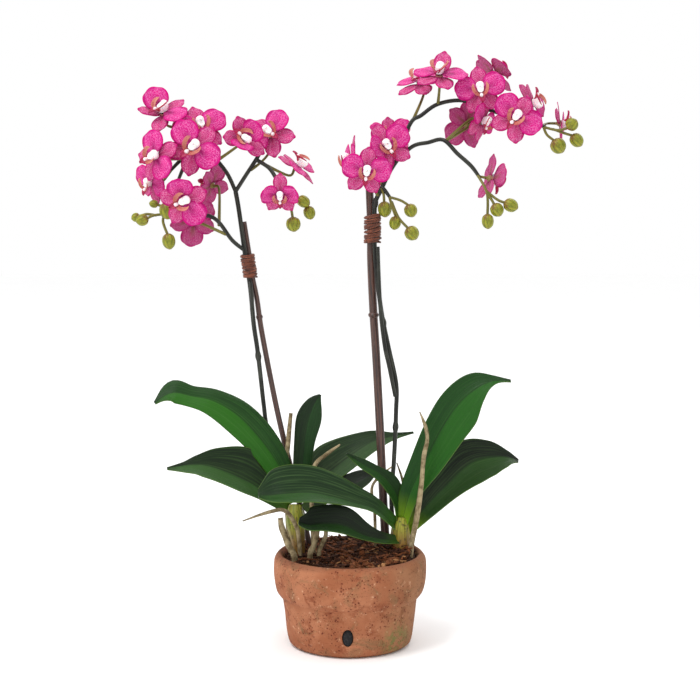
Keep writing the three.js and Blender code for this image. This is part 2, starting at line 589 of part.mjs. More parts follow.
// Crowns with their leaves seated in them.
for (const [name, crown] of Object.entries(CROWNS)) {
  const grown = crown.leaves.map((leafName) => leaf(LEAVES[leafName], GAP));
  add(name, shape(cut(crownRod(crown), grown)), 'sheath');
  crown.leaves.forEach((leafName, i) => {
    add(leafName, shape(cut(leaf(LEAVES[leafName]), grown.slice(0, i))), 'leaf');
  });
}

for (const [name, row] of Object.entries(ROOTS)) {
  add(name, shape(rootRod(row)), 'root');
}

for (const [name, row] of Object.entries(CANES)) {
  const knots = row.knots.map(([x, y, z]) => {
    const path = [[x, y, z - 2], [x, y, z], [x, y, z + 2]];
    return rod(path, [2.2, 4.2, 2.2], 6, 2);
  });
  add(name, shape(join([caneRod(row), ...knots])), 'cane');
}

for (const [name, row] of Object.entries(TIES)) {
  const held = [caneRod(CANES[row.around], GAP), stemRod(SPRAYS[row.stem], GAP)];
  add(name, shape(cut(tie(row), held)), 'raffia');
}

// Sprays: stem, branches, flower stalks and buds in one body; each flower apart.
const flowerShape = shape(flower(LIFTS));
for (const [name, spray] of Object.entries(SPRAYS)) {
  const side = name.split('_')[0];
  const own = Object.entries(BLOOMS).filter(([bloomName]) => bloomName.startsWith(side));
  const parts = [
    stemRod(spray),
    ...spray.rods.map((path) => rod(path, [BRANCH_RADIUS, BRANCH_RADIUS], 4, path.length - 1)),
    ...spray.buds.map(bud),
    ...own.map(([, row]) => stalk(row)),
  ];
  add(name, shape(join(parts)), 'stem');
  for (const [bloomName, [centre, heading, rise, roll, size, , lifts]] of own) {
    const { right, top, out } = frameOf(heading, rise, roll);
    const bloom = add(bloomName, lifts ? shape(flower(lifts)) : flowerShape, 'petal');
    bloom.quaternion.setFromRotationMatrix(new THREE.Matrix4().makeBasis(right, top, out));
    bloom.scale.setScalar(size);
    bloom.position.set(...centre);
  }
}

export default orchid;
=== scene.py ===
"""A potted miniature moth orchid, dressed over its solids. Lengths in the tables are millimetres."""
import random
from math import cos, exp, hypot, pi, radians, sin, sqrt

import bpy
import numpy as np
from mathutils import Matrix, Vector


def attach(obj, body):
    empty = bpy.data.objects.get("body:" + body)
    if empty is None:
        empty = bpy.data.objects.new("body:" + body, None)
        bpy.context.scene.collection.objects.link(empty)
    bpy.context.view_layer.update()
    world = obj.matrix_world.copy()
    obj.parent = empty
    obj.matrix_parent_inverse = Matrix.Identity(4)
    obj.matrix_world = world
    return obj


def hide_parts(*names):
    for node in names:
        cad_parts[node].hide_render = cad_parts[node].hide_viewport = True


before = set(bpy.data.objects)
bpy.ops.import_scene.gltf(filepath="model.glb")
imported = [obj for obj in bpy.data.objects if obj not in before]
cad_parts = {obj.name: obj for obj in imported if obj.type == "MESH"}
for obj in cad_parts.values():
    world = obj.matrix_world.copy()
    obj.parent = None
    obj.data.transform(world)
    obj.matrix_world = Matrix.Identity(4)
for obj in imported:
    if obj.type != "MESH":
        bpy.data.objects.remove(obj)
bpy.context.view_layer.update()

MM = 0.001
BODY = "root"

# Camera and lights: places and aims in metres, lens and sensor in millimetres.
CAMERA_PLACE = (0, -1.3923, 0.4153)
CAMERA_AIM = (0, 0, 0.269)
CAMERA_LENS = 80
SENSOR_WIDTH = 36
LIGHT_AIM = (0, 0, 0.25)

# Pot, soil and the sizes that several pieces share.
POT_OUTSIDE = [
    [47, 0], [49, 0], [53.5, 1.6], [57, 8], [61.2, 42], [63.8, 45.5], [67.2, 51], [69.4, 64], [69.2, 77],
    [67, 82], [64.6, 84],
]
POT_INSIDE = [[62.4, 83], [60.8, 79], [60, 70], [52.5, 20], [48, 10.5]]
HOLE_CENTRE = (-2, 20)
HOLE_HALF = (5, 8)
SOIL_BASE = 70
SOIL_RADIUS = 59.8
PETAL_THICKNESS = 0.9
LEAF_THICKNESS = 1.6
STEM_RADIUS = 2.05
BRANCH_RADIUS = 1.8
PEDICEL_RADIUS = 1.2
TIE_TURNS = 6
TIE_STRANDS = 4

# Loose bark: how many of a kind, how far out they are strewn and how far out they may reach.
CHIPS = (1150, 58.5, 60.2)
STRANDS = (520, 57, 60)
FIBRES = (260, 56, 59)

# Points of the fine pieces: round the pot, then along and across a leaf and a floral leaf.
POT_SIDES = 144
LEAF_STEPS = 44
LEAF_COLUMNS = 21
FLORAL_STEPS = 18
FLORAL_COLUMNS = 15

# Leaves: the way each half spreads from the rib, then the rib's x, y, z and the two half widths.
LEAVES = {
    "left_leaf_1": ([0.45, 0.5, 0.74], [-0.6, -0.45, -0.66], [
        [-52, 8, 128, 5, 5], [-63, 7, 158, 12, 13], [-79, 7, 184, 15, 16], [-100, 8, 207, 15, 18],
        [-123, 9, 221, 12, 15], [-144, 9, 226, 10, 11], [-162, 8, 229, 12, 10], [-177, 5, 220, 2, 2]]),
    "left_leaf_2": ([0, 0.42, 0.91], [0, -0.95, -0.3], [
        [-57, 0, 124, 6, 9], [-80, -9, 143, 25, 18], [-98, -15, 155, 30, 24], [-120, -22, 165, 20, 22],
        [-135, -27, 169, 10, 20], [-147, -31, 169, 4, 14], [-162, -34, 167, 1, 2]]),
    "left_leaf_3": ([-0.91, 0.4, 0.1], [0.99, 0.11, 0.11], [
        [-47, 12, 130, 6, 5], [-44, 12, 157, 9, 8], [-42, 12, 183, 10, 10], [-38, 12, 204, 12, 12],
        [-33, 11, 218, 8, 8], [-27, 10, 227, 1, 1]]),
    "left_leaf_4": ([-0.2, 0.5, 0.84], [0.2, -0.84, -0.5], [
        [-42, 15, 129, 5, 6], [-30, 24, 145, 17, 12], [-15, 34, 155, 25, 15], [2, 44, 166, 21, 15],
        [22, 52, 177, 12, 12], [42, 58, 181, 4, 4], [60, 62, 184, 1, 1]]),
    "left_leaf_5": ([-0.2, 0.42, 0.88], [0.1, -0.9, -0.42], [
        [-42, 5, 122, 5, 5], [-27, 12, 129, 11, 8], [-11, 18, 136, 13, 10], [2, 22, 141, 12, 12],
        [14, 25, 147, 9, 9], [24, 27, 151, 1, 1]]),
    "right_leaf_1": ([-0.85, 0.3, 0.43], [0.84, -0.45, -0.3], [
        [46, 0, 104, 5, 5], [54, -3, 137, 10, 9], [67, -6, 168, 13, 18], [82, -8, 198, 16, 23],
        [97, -9, 221, 17, 24], [114, -10, 236, 15, 13], [129, -10, 242, 6, 4], [144, -9, 242, 2, 2]]),
    "right_leaf_2": ([-0.51, 0.3, 0.81], [0.5, -0.7, -0.5], [
        [51, 6, 100, 5, 5], [69, 13, 122, 13, 13], [88, 20, 142, 18, 19], [109, 25, 160, 23, 25],
        [129, 29, 166, 17, 22], [145, 31, 166, 7, 14], [156, 32, 162, 2, 3]]),
    "right_leaf_3": ([0, 0.42, 0.91], [0, -0.98, -0.2], [
        [40, -6, 110, 8, 8], [22, -14, 126, 12, 8], [4, -24, 134, 17, 8], [-13, -34, 141, 21, 12],
        [-34, -44, 147, 25, 18], [-54, -51, 148, 26, 20], [-69, -54, 147, 21, 16], [-80, -56, 147, 6, 5]]),
    "right_leaf_4": ([0, 0.42, 0.91], [0, -0.95, -0.3], [
        [43, -8, 96, 5, 4], [27, -20, 100, 8, 6], [12, -30, 106, 13, 7], [-5, -38, 116, 18, 13],
        [-22, -44, 119, 18, 12], [-36, -48, 119, 15, 9], [-45, -50, 122, 5, 4]]),
    "right_leaf_5": ([0.5, 0.35, 0.79], [-0.41, -0.76, -0.51], [
        [45, 3, 113, 6, 6], [43, 0, 134, 8, 9], [35, -4, 149, 9, 9], [24, -8, 159, 6, 7],
        [11, -11, 167, 5, 5], [-3, -14, 177, 1, 1]]),
}

# Leaf colours: near half, far half, streaks, base and tip, then the strength of the streaks. The lighter
# near half is painted light and sheen, where that half faces the light; the streaks are partly pale veins
# and partly painted sheen.
LEAF_LOOKS = {
    "left_leaf_1": ((34, 92, 8), (16, 56, 8), (60, 108, 44), (104, 140, 10), (24, 52, 18), 0.4),
    "left_leaf_2": ((48, 84, 34), (10, 32, 6), (60, 88, 44), (58, 92, 12), (28, 46, 20), 0.5),
    "left_leaf_3": ((16, 52, 12), (8, 30, 6), (48, 78, 38), (66, 108, 10), (16, 36, 12), 0.35),
    "left_leaf_4": ((46, 74, 36), (22, 46, 16), (74, 98, 60), (66, 92, 14), (36, 54, 28), 0.5),
    "left_leaf_5": ((14, 36, 8), (8, 22, 5), (44, 66, 34), (44, 66, 12), (16, 24, 12), 0.35),
    "right_leaf_1": ((26, 82, 10), (14, 58, 8), (54, 98, 38), (118, 154, 14), (26, 54, 16), 0.25),
    "right_leaf_2": ((34, 70, 18), (6, 20, 4), (62, 88, 46), (122, 156, 14), (40, 40, 36), 0.45),
    "right_leaf_3": ((38, 74, 28), (14, 42, 10), (74, 104, 58), (34, 74, 8), (26, 50, 18), 0.55),
    "right_leaf_4": ((24, 56, 14), (6, 20, 4), (44, 66, 32), (34, 66, 8), (12, 24, 8), 0.35),
    "right_leaf_5": ((22, 62, 8), (12, 42, 6), (48, 82, 32), (52, 100, 8), (16, 36, 10), 0.3),
}

CROWNS = {
    "left_crown": ([[-46, -2, SOIL_BASE], [-46, -2, 84], [-48, -1, 100], [-50, 3, 114], [-50, 7, 126]],
                   [4.5, 5, 7, 8.5, 5.5]),
    "right_crown": ([[46, -2, SOIL_BASE], [46, -2, 84], [46, -1, 96], [46, 0, 106], [47, 1, 116]],
                    [6, 8, 9, 8, 5]),
}

# Canes: path, radii and the heights of the knots.
CANES = {
    "left_cane": (
        [[-38, 23, SOIL_BASE], [-38, 23, 86], [-50, 26, 137], [-60, 25, 179], [-69, 20.5, 222],
         [-80, 12.5, 284], [-84, 9.5, 314], [-87.8, 7.3, 334], [-90.6, 6.6, 355], [-95, 7, 384]],
        [2.7, 2.7, 2.7, 2.6, 2.5, 2.4, 2.3, 2.3, 2.2, 2.1], [-82, 11, 298]),
    "right_cane": (
        [[33, 16, SOIL_BASE], [33, 16, 86], [31, 16, 121], [27, 15, 203], [24, 12.5, 258], [21, 9.5, 305],
         [19, 6.6, 350], [18.8, 6.4, 378], [17, 6.4, 422]],
        [4, 4, 3.9, 3.8, 3.7, 3.6, 3.6, 3.5, 3.4], [21.3, 9.8, 300]),
}

# Ties: bottom and top of the middle line and the half width.
TIES = {
    "left_tie": ([-89.3, 5.2, 334], [-92.2, 4.4, 355], 6.8),
    "right_tie": ([20.2, 4.4, 365], [20.1, 4.4, 391], 8),
}

# Sprays: main stem, then branches, then buds as stalk path, centre, way, length and width.
SPRAYS = {
    "left": {
        "stem": [[-50, 17, SOIL_BASE], [-50, 17, 86], [-56, 23, 120], [-66, 26, 157], [-76, 25, 192],
                 [-79, 20, 216], [-81, 14, 239], [-84, 10, 269], [-87, 7, 292], [-89, 5, 318],
                 [-91, 2.9, 336], [-94, 2, 355], [-99, 2, 393], [-102, 2, 411]],
        "rods": [
            [[-88.4, 6, 305], [-88, 1, 316], [-89, -2, 331]],
            [[-102, 2, 411], [-111, 6, 429], [-127, 10, 446], [-138, 12, 447], [-146, 8, 438],
             [-153, 2, 421]],
            [[-138, 12, 447], [-150, 10, 440], [-160, 8, 430]],
            [[-127, 10, 446], [-137, 18, 455], [-148, 18, 463], [-158, 14, 468]],
            [[-102, 2, 411], [-92, -2, 426], [-82, -4, 441], [-79, -4, 448]],
            [[-83, -4, 439], [-72, -8, 432], [-66, -12, 424], [-62, -15, 417]],
            [[-95, 2, 359], [-105, -6, 368], [-121, -11, 388], [-147, -11, 391], [-166, -13, 391]],
        ],
        "buds": [
            [[[-164, -13, 391], [-173, -16, 390]], [-183, -19, 386], [-1, 0, -0.3], 11, 9],
            [[[-171, -15, 390], [-180, -10, 391]], [-190, -8, 388], [-1, 0, -0.3], 8, 7],
            [[[-164, -13, 391], [-165, -15, 384]], [-160, -16, 367], [0.15, 0, -1], 14, 10],
            [[[-158, -12, 391], [-165, -9, 397]], [-174, -8, 400], [-1, 0, 0.2], 8, 6],
            [[[-150, -11, 391], [-156, -13, 402]], [-161, -17, 394], [0.1, 0, -1], 15, 12],
            [[[-63, -15, 418], [-54, -12, 409]], [-41, -9, 402], [0.8, 0, -0.5], 12, 9],
            [[[-54, -12, 409], [-46, -6, 402]], [-36, -5, 392], [0.3, 0, -1], 12, 9],
            [[[-59, -14, 414], [-53, -14, 400]], [-50, -14, 382], [0.1, 0, -1], 13, 11],
        ],
    },
    "right": {
        "stem": [[43, 13, SOIL_BASE], [43, 13, 86], [38, 12, 125], [40, 12, 163], [41, 12, 183],
                 [42, 12, 212], [42, 11, 237], [35, 8, 270], [29, 5, 299], [25.4, 3, 325], [22.3, 1, 356],
                 [22, 0.9, 378], [22.4, 0.9, 400], [28, 2, 413], [35, 2, 428], [42, 2, 439]],
        "rods": [
            [[41, 10, 226], [39, 6, 236], [35, 3, 255], [31, 0, 274], [27, -3.4, 310], [25, -4, 362]],
            [[42, 2, 439], [47, 4, 456], [55, 4, 473], [63, 4, 478], [78, 2, 488], [100, 0, 491],
             [123, 0, 483], [155, 4, 473], [174, 4, 468]],
            [[42, 2, 439], [56, 2, 451], [69, -5, 454], [82, -14, 456], [94, -20, 444], [106, -24, 433],
             [114, -24, 422]],
            [[28, 2, 415], [31, 0, 412], [36, -3, 405]],
        ],
        "buds": [
            [[[28, 1, 414], [30, 0, 408]], [31, 0, 395], [0.1, 0, -1], 14, 10.5],
            [[[35, -3, 406], [38, -5, 396]], [40, -6, 383], [-0.2, 0, -1], 12, 9],
            [[[35, -3, 406], [45, -5, 403]], [54, -6, 394], [0.4, 0, -1], 12, 10],
            [[[37, -4, 402], [43, -8, 388]], [55, -10, 374], [0.6, 0, -0.8], 13, 11],
            [[[172, 4, 468], [184, -1, 465]], [196, -6, 470], [0.6, -0.3, 0.6], 11, 10],
            [[[180, 1, 466], [191, -1, 462]], [201, -2, 456], [0.7, 0, -0.8], 13, 10],
            [[[172, 4, 468], [175, 2, 461]], [185, 0, 451], [0.6, 0, -0.8], 14, 12],
            [[[111, -24, 426], [119, -33, 410]], [120, -33, 385], [0.05, 0, -1], 13, 9],
            [[[119, -33, 410], [123, -34, 404]], [128, -34, 395], [0.5, 0, -0.9], 12, 10],
            [[[119, -32, 411], [128, -34, 404]], [140, -34, 399], [0.9, 0, -0.4], 13, 10],
        ],
    },
}

# Blooms: middle, heading, rise, clockwise roll, size, stalk places and any bends of their own.
BLOOMS = {
    "left_bloom_1": [[-166, 2, 481], -20, 55, 30, 1.1, [[-158, 14, 468]], [10, 35, -5, 0, 55]],
    "left_bloom_2": [[-137, -24, 449], 0, 10, 46, 1.16, [[-130, 10.5, 446]]],
    "left_bloom_3": [[-170, -24, 441], -30, 8, 62, 1.05, [[-150, 10, 440]]],
    "left_bloom_4": [[-177, -2, 418], -45, -5, 25, 0.9, [[-160, 8, 430]]],
    "left_bloom_5": [[-144, -38, 403], -5, -5, 66, 1.08, [[-153, 2, 421]], [20, 0, -5, 5, 45]],
    "left_bloom_6": [[-140, 8, 384], 168, -15, -112, 1, [[-110, -8, 373]]],
    "left_bloom_7": [[-126, 24, 417], -135, 20, -100, 0.9, [[-116, -10, 381]]],
    "left_bloom_8": [[-133, 6, 468], 10, 30, -15, 1.1, [[-127, 10, 446]]],
    "left_bloom_9": [[-93, -12, 457], 10, 12, 126, 1, [[-119, 8, 438]], [0, 30, 30, 58, 58]],
    "left_bloom_10": [[-71, 8, 462], -16, 26, -52, 1.05, [[-88, -3, 430], [-79, 3, 437], [-72, 13, 446]]],
    "left_bloom_11": [[-46, -6, 434], 70, 45, 170, 0.95, [[-74, -7, 434]]],
    "left_bloom_12": [[-61, -28, 408], 0, -25, 0, 0.85, [[-62, -15, 417]], [-20, 10, 10, 38, 38]],
    "right_bloom_1": [[1, 12, 439], -78, 0, 0, 1, [[29, 2, 416]]],
    "right_bloom_2": [[14, -28, 428], 5, -5, 8, 1, [[25, 1, 407]]],
    "right_bloom_3": [[33, -4, 450], 5, 10, -30, 1.05, [[38, 2, 433]], [5, 5, 5, 10, 50]],
    "right_bloom_4": [[37, 28, 460], 10, 50, -5, 0.95, [[44, 2.7, 446]], [40, 10, 10, 45, 30]],
    "right_bloom_5": [[78, -16, 513], -5, 62, 15, 1.1, [[78, 2, 488]], [52, 0, 0, 0, 0]],
    "right_bloom_6": [[63, 22, 509], -30, 62, 0, 1.1, [[56, 4, 474]], [0, 0, 0, 0, 0]],
    "right_bloom_7": [[114, -18, 499], -5, 10, -10, 1, [[108, 0, 489]]],
    "right_bloom_8": [[130, 24, 517], 117, 45, 0, 1.05, [[120, 0, 484]]],
    "right_bloom_9": [[144, -28, 475], -5, 5, 36, 1.05, [[140, 2, 478]], [40, 0, 0, 5, 25]],
    "right_bloom_10": [[163, 14, 490], 62, 12, 175, 1, [[150, 3, 475]]],
    "right_bloom_11": [[191, 26, 472], 80, 0, 160, 0.95, [[171, 4, 469]]],
    "right_bloom_12": [[104, 12, 470], -160, 0, 52, 1, [[84, -15, 455]]],
    "right_bloom_13": [[116, -15, 472], 55, -10, 20, 0.9, [[84, -15, 455]]],
    "right_bloom_14": [[125, -12, 422], 110, -10, 0, 1, [[113, -24, 424]]],
}

# Aerial roots: path and radii from the soil up.
ROOTS = {
    "root_1": ([[54, -10, SOIL_BASE], [55, -10, 90], [60, -12, 116], [64, -15, 149], [66, -17, 174],
                [69, -19, 190], [67, -20, 203], [62, -21, 216]], [2.7, 2.7, 2.5, 2.2, 2, 1.8, 1.6, 0.5]),
    "root_2": ([[-55, 12, SOIL_BASE], [-55, 12, 84], [-58, 17, 122], [-59, 18.5, 155], [-57, 18.5, 180],
                [-54, 17, 209]], [2.4, 2.4, 2.4, 2.3, 2.2, 1.8]),
    "root_3": ([[-45, -14, SOIL_BASE], [-45, -14, 86], [-48, -17, 110], [-58, -21, 126], [-72, -24, 126],
                [-96, -26, 118]], [2, 2, 2, 1.9, 1.6, 0.6]),
    "root_4": ([[-50, -21, SOIL_BASE], [-50, -21, 84], [-56, -17, 96], [-61, -14, 108], [-63, -12, 118]],
               [2.9, 2.9, 2.9, 2.8, 2.3]),
    "root_5": ([[-36, -22, SOIL_BASE], [-36, -22, 87], [-33, -21, 93], [-30, -19, 104], [-29, -18, 111]],
               [2.6, 2.6, 2.6, 2.5, 2.2]),
    "root_6": ([[-28, -20, SOIL_BASE], [-28, -20, 88], [-26, -19, 94], [-22, -17, 102], [-22, -16, 110]],
               [2.1, 2.1, 2.1, 2, 1.8]),
    "root_7": ([[-33, -8, SOIL_BASE], [-33, -8, 84], [-34, -6, 114], [-35, -2, 141], [-32, 1, 163],
                [-22, 3, 173], [-9, 5, 182]], [2, 2, 2, 2, 2, 1.8, 0.8]),
    "root_8": ([[23, 2, SOIL_BASE], [23, 2, 86], [23, 5, 107], [22, 7, 125], [20, 7, 136], [21, 6, 145],
                [28, 4, 154], [38, 3, 162]], [1.4, 1.4, 1.4, 1.4, 1.4, 1.3, 1.3, 0.6]),
    "root_9": ([[52, 22, SOIL_BASE], [52, 22, 83], [52, 21, 109], [49, 19, 143], [43, 18, 163]],
               [1.4, 1.4, 1.4, 1.3, 0.6]),
}

# One flower at size 1: direction in the face, length, half width and height of each floral leaf.
FLORAL_LEAVES = [[90, 22, 7.4, -1.7], [-126, 21.5, 7.2, -1.7], [-54, 21.5, 7.2, -1.7],
                 [16, 23, 10.2, 0.5], [164, 23, 10.2, 0.5]]
LIFTS = [2, -4, -4, 8, 8]
SEPAL_OUTLINE = [0.22, 0.6, 0.86, 0.98, 1.0, 0.9, 0.69, 0.25]
PETAL_OUTLINE = [0.16, 0.6, 0.9, 1.03, 1.06, 1.0, 0.83, 0.42]


def tint(red, green, blue):
    """A display colour, 0 to 255, as the linear colour that nodes use."""
    def linear(value):
        share = value / 255
        return share / 12.92 if share <= 0.04045 else ((share + 0.055) / 1.055) ** 2.4
    return (linear(red), linear(green), linear(blue), 1)


def along(rows, t):
    """The row at share t of a table, on a smooth line through its rows."""
    rows = np.asarray(rows, float)
    place = min(max(t, 0), 1) * (len(rows) - 1)
    i = min(int(place), len(rows) - 2)
    f = place - i
    a, b, d, e = (rows[min(max(k, 0), len(rows) - 1)] for k in (i - 1, i, i + 1, i + 2))
    return b + 0.5 * f * (d - a + f * (2 * a - 5 * b + 4 * d - e + f * (3 * (b - d) + e - a)))


def unit(vector):
    vector = np.asarray(vector, float)
    return vector / np.linalg.norm(vector)


class Paint:
    """A procedural material; its calls return sockets."""

    def __init__(self, name, roughness=0.5, specular=0.5, sheen=0, coat=0, through=0):
        self.material = bpy.data.materials.new(name)
        self.material.use_nodes = True
        self.tree = self.material.node_tree
        self.shader = self.tree.nodes["Principled BSDF"]
        self.colour = None
        self.shader.inputs["Roughness"].default_value = roughness
        self.shader.inputs["Specular IOR Level"].default_value = specular
        self.shader.inputs["Sheen Weight"].default_value = sheen
        self.shader.inputs["Coat Weight"].default_value = coat
        self.shader.inputs["Subsurface Weight"].default_value = through
        self.shader.inputs["Subsurface Scale"].default_value = 0.002

    def put(self, socket, value):
        if isinstance(value, bpy.types.NodeSocket):
            self.tree.links.new(value, socket)
        else:
            socket.default_value = value

    def node(self, kind, inputs=None, **settings):
        node = self.tree.nodes.new(kind)
        for key, value in settings.items():
            setattr(node, key, value)
        for key, value in (inputs or {}).items():
            self.put(node.inputs[key], value)
        return node

    def place(self, kind="Object", scale=(1, 1, 1)):
        at = self.node("ShaderNodeTexCoord").outputs[kind]
        return self.node("ShaderNodeMapping", {"Vector": at, "Scale": scale}).outputs["Vector"]

    def axis(self, vector, letter):
        return self.node("ShaderNodeSeparateXYZ", {"Vector": vector}).outputs[letter]

    def noise(self, vector, scale, detail=3, rough=0.55, warp=0):
        inputs = {"Vector": vector, "Scale": scale, "Detail": detail, "Roughness": rough, "Distortion": warp}
        return self.node("ShaderNodeTexNoise", inputs).outputs["Fac"]

    def flow(self, along, across, detail=3, rough=0.55):
        """Noise on the flat place of a face, drawn out along the piece."""
        return self.noise(self.place("UV", (along, across, 1)), 1, detail, rough)

    def cells(self, vector, scale, feature="F1"):
        inputs = {"Vector": vector, "Scale": scale}
        return self.node("ShaderNodeTexVoronoi", inputs, feature=feature).outputs["Distance"]

    def range(self, value, low, high, out_low=0.0, out_high=1.0):
        inputs = {"Value": value, "From Min": low, "From Max": high, "To Min": out_low, "To Max": out_high}
        return self.node("ShaderNodeMapRange", inputs, interpolation_type="SMOOTHSTEP").outputs["Result"]

    def calculate(self, operation, first, second=0):
        node = self.node("ShaderNodeMath", operation=operation)
        self.put(node.inputs[0], first)
        self.put(node.inputs[1], second)
        return node.outputs[0]

    def add(self, first, second):
        return self.calculate("ADD", first, second)

    def times(self, first, second):
        return self.calculate("MULTIPLY", first, second)

    def larger(self, first, second):
        return self.calculate("MAXIMUM", first, second)

    def off_middle(self, share):
        """How far a share lies from one half."""
        return self.calculate("ABSOLUTE", self.calculate("SUBTRACT", share, 0.5))

    def uneven(self, value, noise, reach):
        """The value, shifted up or down by noise as far as the reach."""
        return self.add(value, self.range(noise, 0, 1, -reach, reach))

    def mix(self, share, first, second):
        """A mix of two colours, each of them a socket or a display colour."""
        node = self.node("ShaderNodeMix", data_type="RGBA")
        self.put(node.inputs[0], share)
        for number, colour in ((6, first), (7, second)):
            self.put(node.inputs[number], tint(*colour) if isinstance(colour, tuple) else colour)
        return node.outputs[2]

    def over(self, share, colour):
        """Lays a colour over what is there."""
        self.colour = self.mix(share, self.colour, colour)

    def near(self, vector, centre, radius):
        """1 at a point in metres, falling to 0 at the radius."""
        node = self.node("ShaderNodeVectorMath", operation="DISTANCE")
        self.put(node.inputs[0], vector)
        node.inputs[1].default_value = centre
        return self.range(node.outputs["Value"], radius, 0)

    def finish(self, height=None, strength=0.3, distance=0.0004, roughness=None):
        self.put(self.shader.inputs["Base Color"], self.colour)
        if height is not None:
            inputs = {"Height": height, "Strength": strength, "Distance": distance}
            self.put(self.shader.inputs["Normal"], self.node("ShaderNodeBump", inputs).outputs["Normal"])
        if roughness is not None:
            self.put(self.shader.inputs["Roughness"], roughness)
        return self.material


def clay_look():
    """Worn terracotta: mottled, pitted and chipped, with grime, a green foot, a darker lip and painted shade
    on its right side.
    """
    paint = Paint("worn_clay", 0.9, 0.25)
    at = paint.place()
    tall = paint.axis(at, "Z")
    broad = paint.noise(at, 30, 4)
    paint.colour = paint.mix(paint.range(broad, 0.35, 0.65), (160, 96, 64), (184, 120, 86))
    patch = paint.noise(at, 75, 5, 0.65, 0.6)
    paint.over(paint.range(patch, 0.5, 0.68), (142, 78, 50))
    grime = paint.noise(at, 48, 5, 0.7, 1)
    paint.over(paint.range(grime, 0.5, 0.7, 0, 0.6), (118, 98, 66))
    # Painted shade: the pot's right side, away from the light, is darkened half way towards a dark olive
    # brown.
    right_side_shade = paint.range(paint.uneven(paint.axis(at, "X"), broad, 0.02), 0.01, 0.07)
    paint.over(paint.times(right_side_shade, 0.5), (112, 92, 60))
    dust = paint.noise(at, 190, 4, 0.7)
    paint.over(paint.range(dust, 0.58, 0.74, 0, 0.65), (226, 178, 142))
    pits = paint.cells(at, 330)
    pit_share = paint.times(paint.range(pits, 0.3, 0.14), paint.range(patch, 0.42, 0.55))
    small_pits = paint.range(paint.cells(at, 620), 0.26, 0.12)
    small_pits = paint.times(small_pits, paint.range(grime, 0.4, 0.56))
    pit_share = paint.larger(pit_share, small_pits)
    paint.over(pit_share, (98, 36, 22))
    scratches = paint.noise(paint.place(scale=(60, 60, 500)), 1, 3, 0.6, 1.5)
    paint.over(paint.range(scratches, 0.64, 0.7, 0, 0.55), (120, 56, 36))
    lip = paint.range(paint.uneven(tall, broad, 0.003), 0.079, 0.084)
    paint.over(paint.times(lip, 0.6), (116, 74, 54))
    foot = paint.near(at, (0.042, -0.04, 0.012), 0.026)
    paint.over(paint.times(foot, paint.range(dust, 0.4, 0.6)), (104, 112, 58))
    mark = paint.near(at, (0.0015, -0.0625, 0.0555), 0.0075)
    paint.over(paint.range(paint.times(mark, dust), 0.12, 0.24), (70, 62, 58))
    inside = paint.range(paint.calculate("SUBTRACT", tall, 0.079), 0.004, 0.001, 0, 0.15)
    paint.over(inside, (90, 60, 44))
    height = paint.calculate("SUBTRACT", paint.add(dust, broad), pit_share)
    return paint.finish(height, 0.55, 0.0008)


def plug_look():
    paint = Paint("black_plug", 0.75, 0.3)
    grain = paint.noise(paint.place(), 700, 4)
    paint.colour = paint.mix(paint.range(grain, 0.4, 0.7), (20, 20, 22), (46, 46, 48))
    return paint.finish(grain, 0.3)


def bark_look(name, dark, light):
    paint = Paint(name, 0.92, 0.2)
    grain = paint.noise(paint.place(), 420, 5, 0.7, 1)
    fleck = paint.noise(paint.place(), 90, 3)
    paint.colour = paint.mix(paint.range(grain, 0.35, 0.7), dark, light)
    paint.over(paint.range(fleck, 0.55, 0.7, 0, 0.5), dark)
    return paint.finish(grain, 0.6, 0.0008)


def sheath_look():
    """Leaf base: brown and papery at the soil, then yellow-green with fine lengthwise lines."""
    paint = Paint("crown_sheath", 0.5, 0.4, through=0.1)
    at = paint.place()
    lines = paint.flow(0.6, 40)
    paint.colour = paint.mix(paint.range(lines, 0.35, 0.65), (104, 120, 18), (158, 152, 52))
    low = paint.range(paint.uneven(paint.axis(at, "Z"), lines, 0.006), 0.112, 0.09)
    paint.over(low, (134, 98, 34))
    spots = paint.noise(at, 130, 4, 0.6, 0.8)
    paint.over(paint.range(spots, 0.55, 0.66, 0, 0.8), (58, 36, 14))
    return paint.finish(lines, 0.4)


def leaf_look(name, near, far, vein_and_sheen, base, tip, strength):
    """Leaf face: a lighter near half of painted light and sheen beside the darker far half, lengthwise
    streaks that are partly veins and partly painted sheen, a light margin and a pale base.
    """
    paint = Paint(name, 0.4, 0.22)
    flat = paint.place("UV")
    reach = paint.axis(flat, "X")
    across = paint.axis(flat, "Y")
    blotch = paint.flow(4, 7)
    # Painted light and sheen: the near half takes the lighter colour and the far half the darker one; the
    # seam between them wanders with the blotch noise.
    half = paint.range(paint.uneven(across, blotch, 0.05), 0.42, 0.56)
    paint.colour = paint.mix(half, near, far)
    wide = paint.flow(1.6, 26, 4, 0.6)
    fine = paint.flow(5, 90, 3, 0.7)
    # Painted sheen: pale lengthwise streaks, partly veins, laid over the leaf by the strength given.
    streaks = paint.times(paint.range(wide, 0.46, 0.66), paint.range(fine, 0.3, 0.6, 0.45, 1))
    paint.over(paint.times(streaks, strength), vein_and_sheen)
    dark = paint.range(fine, 0.5, 0.3, 0, 0.35)
    paint.over(dark, (10, 16, 8))
    paint.over(paint.range(reach, 0.86, 1, 0, 0.8), tip)
    paint.over(paint.range(reach, 0.16, 0.02, 0, 0.9), base)
    side = paint.off_middle(across)
    rib = paint.range(side, 0.02, 0.006, 0, 0.5)
    paint.over(rib, (12, 20, 8))
    edge = paint.range(side, 0.485, 0.497, 0, 0.6)
    paint.over(edge, (84, 112, 40))
    rough = paint.range(wide, 0.35, 0.65, 0.34, 0.55)
    return paint.finish(paint.add(wide, paint.times(fine, 0.5)), 0.5, 0.0007, rough)


